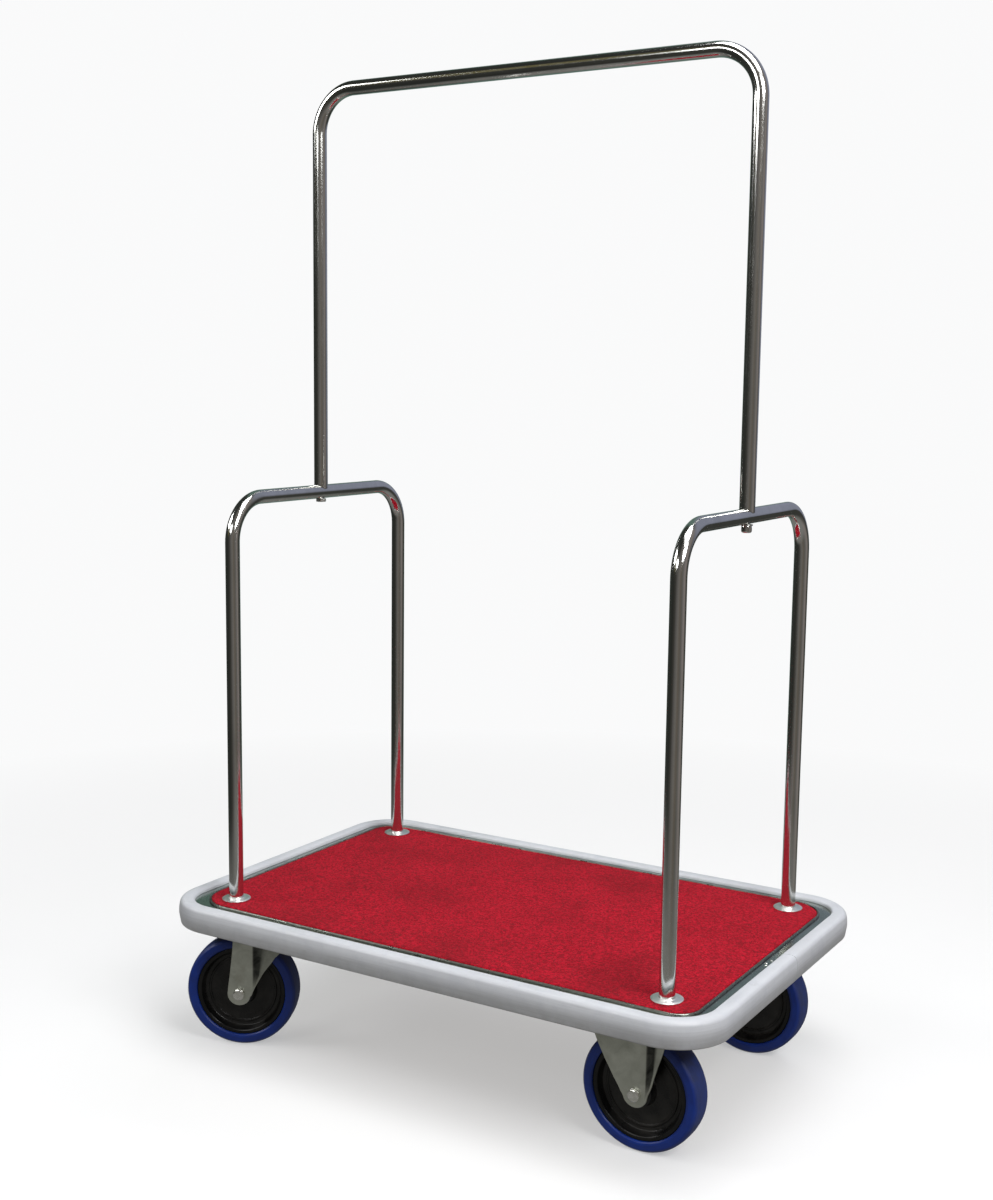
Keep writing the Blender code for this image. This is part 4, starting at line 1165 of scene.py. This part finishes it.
def make_floor():
    """A pale painted floor that fades into the backdrop, and looks dim to reflections."""
    paint = Recipe("pale_floor", Specular_IOR_Level=0.2)
    patches = paint.noise(2.5, 4, 0.5)
    tone = paint.fade(patches, 0.3, 0.7, (0.88, 0.88, 0.88), (0.86, 0.86, 0.865))
    paint.use(tone, paint.spread(patches, 0.3, 0.7, 0.75, 0.9))
    distance = paint.add("ShaderNodeVectorMath", {0: paint.place}, operation="LENGTH").outputs["Value"]
    far = paint.add("ShaderNodeEmission", {"Color": BACKDROP})
    seen = paint.mix(paint.spread(distance, 0.7, 2.6, 0.42, 1.0), paint.shader, far)
    around = paint.fade(distance, 1.0, 1.9, NEAR_FLOOR, room_color(paint))
    paint.show("Material Output", paint.add("ShaderNodeEmission", {"Color": around}), seen)
    mesh = bpy.data.meshes.new("floor")
    count, radius = 96, 14.0
    turns = [2 * math.pi * i / count for i in range(count)]
    rim = [(radius * math.cos(a), radius * math.sin(a), 0) for a in turns]
    mesh.from_pydata(rim, [], [tuple(range(count))])
    mesh.materials.append(paint.material)
    floor = bpy.data.objects.new("floor", mesh)
    bpy.context.scene.collection.objects.link(floor)
    floor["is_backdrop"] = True


def add_softbox(name, place, aim, size, power):
    light = bpy.data.lights.new(name, "AREA")
    light.shape = "RECTANGLE"
    light.size, light.size_y = size
    light.energy = power
    box = bpy.data.objects.new(name, light)
    box.location = place
    box.rotation_euler = (Vector(aim) - Vector(place)).to_track_quat("-Z", "Y").to_euler()
    bpy.context.scene.collection.objects.link(box)
    return box


def make_lights():
    add_softbox("overhead", (0.85, -0.3, 3.4), (0.15, 0, 0.3), (1.4, 2.4), 70)
    add_softbox("right", (3.0, -1.45, 2.9), (0, 0, 0.5), (1.8, 1.3), 96)
    add_softbox("left", (-3.4, -2.2, 3.0), (0, 0, 0.5), (1.9, 1.5), 72)
    behind = add_softbox("behind", (-0.3, 3.4, 3.1), (0, 0, 0.6), (3.6, 1.9), 44)
    # The hoops' bars mirror the room there, not a lamp
    behind.visible_glossy = False
    add_softbox("front", (-0.6, -3.8, 2.6), (0, 0, 0.2), (1.6, 1.0), 30)


def make_world():
    """A dim room for the reflections, with paler walls to one side, under a pale backdrop."""
    world = bpy.data.worlds.new("studio")
    bpy.context.scene.world = world
    world.use_nodes = True
    tree = Nodes(world.node_tree, "Generated")
    color = room_color(tree)
    for azimuth, height, edge, core, glow in GLOWS:
        azimuth, height = math.radians(azimuth), math.radians(height)
        flat = math.cos(height)
        aim = (flat * math.cos(azimuth), flat * math.sin(azimuth), math.sin(height))
        towards = tree.add("ShaderNodeVectorMath", {0: tree.place, 1: aim}, operation="DOT_PRODUCT")
        share = tree.spread(towards.outputs["Value"], edge, core, interpolation_type="SMOOTHSTEP")
        color = tree.blend(share, color, glow)
    room = world.node_tree.nodes["Background"]
    tree.put(room.inputs["Color"], color)
    tree.show("World Output", room, tree.add("ShaderNodeBackground", {"Color": BACKDROP}))


def make_camera():
    """A standing photographer's view of the front and the right end."""
    data = bpy.data.cameras.new("camera")
    data.sensor_fit = "VERTICAL"
    data.sensor_height = 36.0
    data.lens = 47.277
    camera = bpy.data.objects.new("camera", data)
    camera.location = (1.3869, -2.3384, 1.1896)
    right = Vector((0.8529, 0.52194, 0.01174))
    up = Vector((-0.08183, 0.11144, 0.9904))
    back = right.cross(up)
    camera.rotation_euler = Matrix((right, back.cross(right), back)).transposed().to_euler()
    bpy.context.scene.collection.objects.link(camera)
    bpy.context.scene.camera = camera


make_bumper()
make_carpet()
make_trim()
make_trim_pins()
make_underframe_screws()
make_hoops()
make_flanges()
make_tall_hoop_fixings()
for corner in CORNERS:
    make_wheel(corner)
    if corner in SWIVEL_CORNERS:
        make_swivel_caster(corner)
    else:
        make_fixed_caster(corner)
dress_cad_nodes()
make_floor()
make_lights()
make_world()
make_camera()
bpy.context.scene.view_settings.view_transform = "Standard"

sizes = {"cad": cad_bounds, "visual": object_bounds()}
{key: [list(corner) for corner in value] for key, value in sizes.items()}
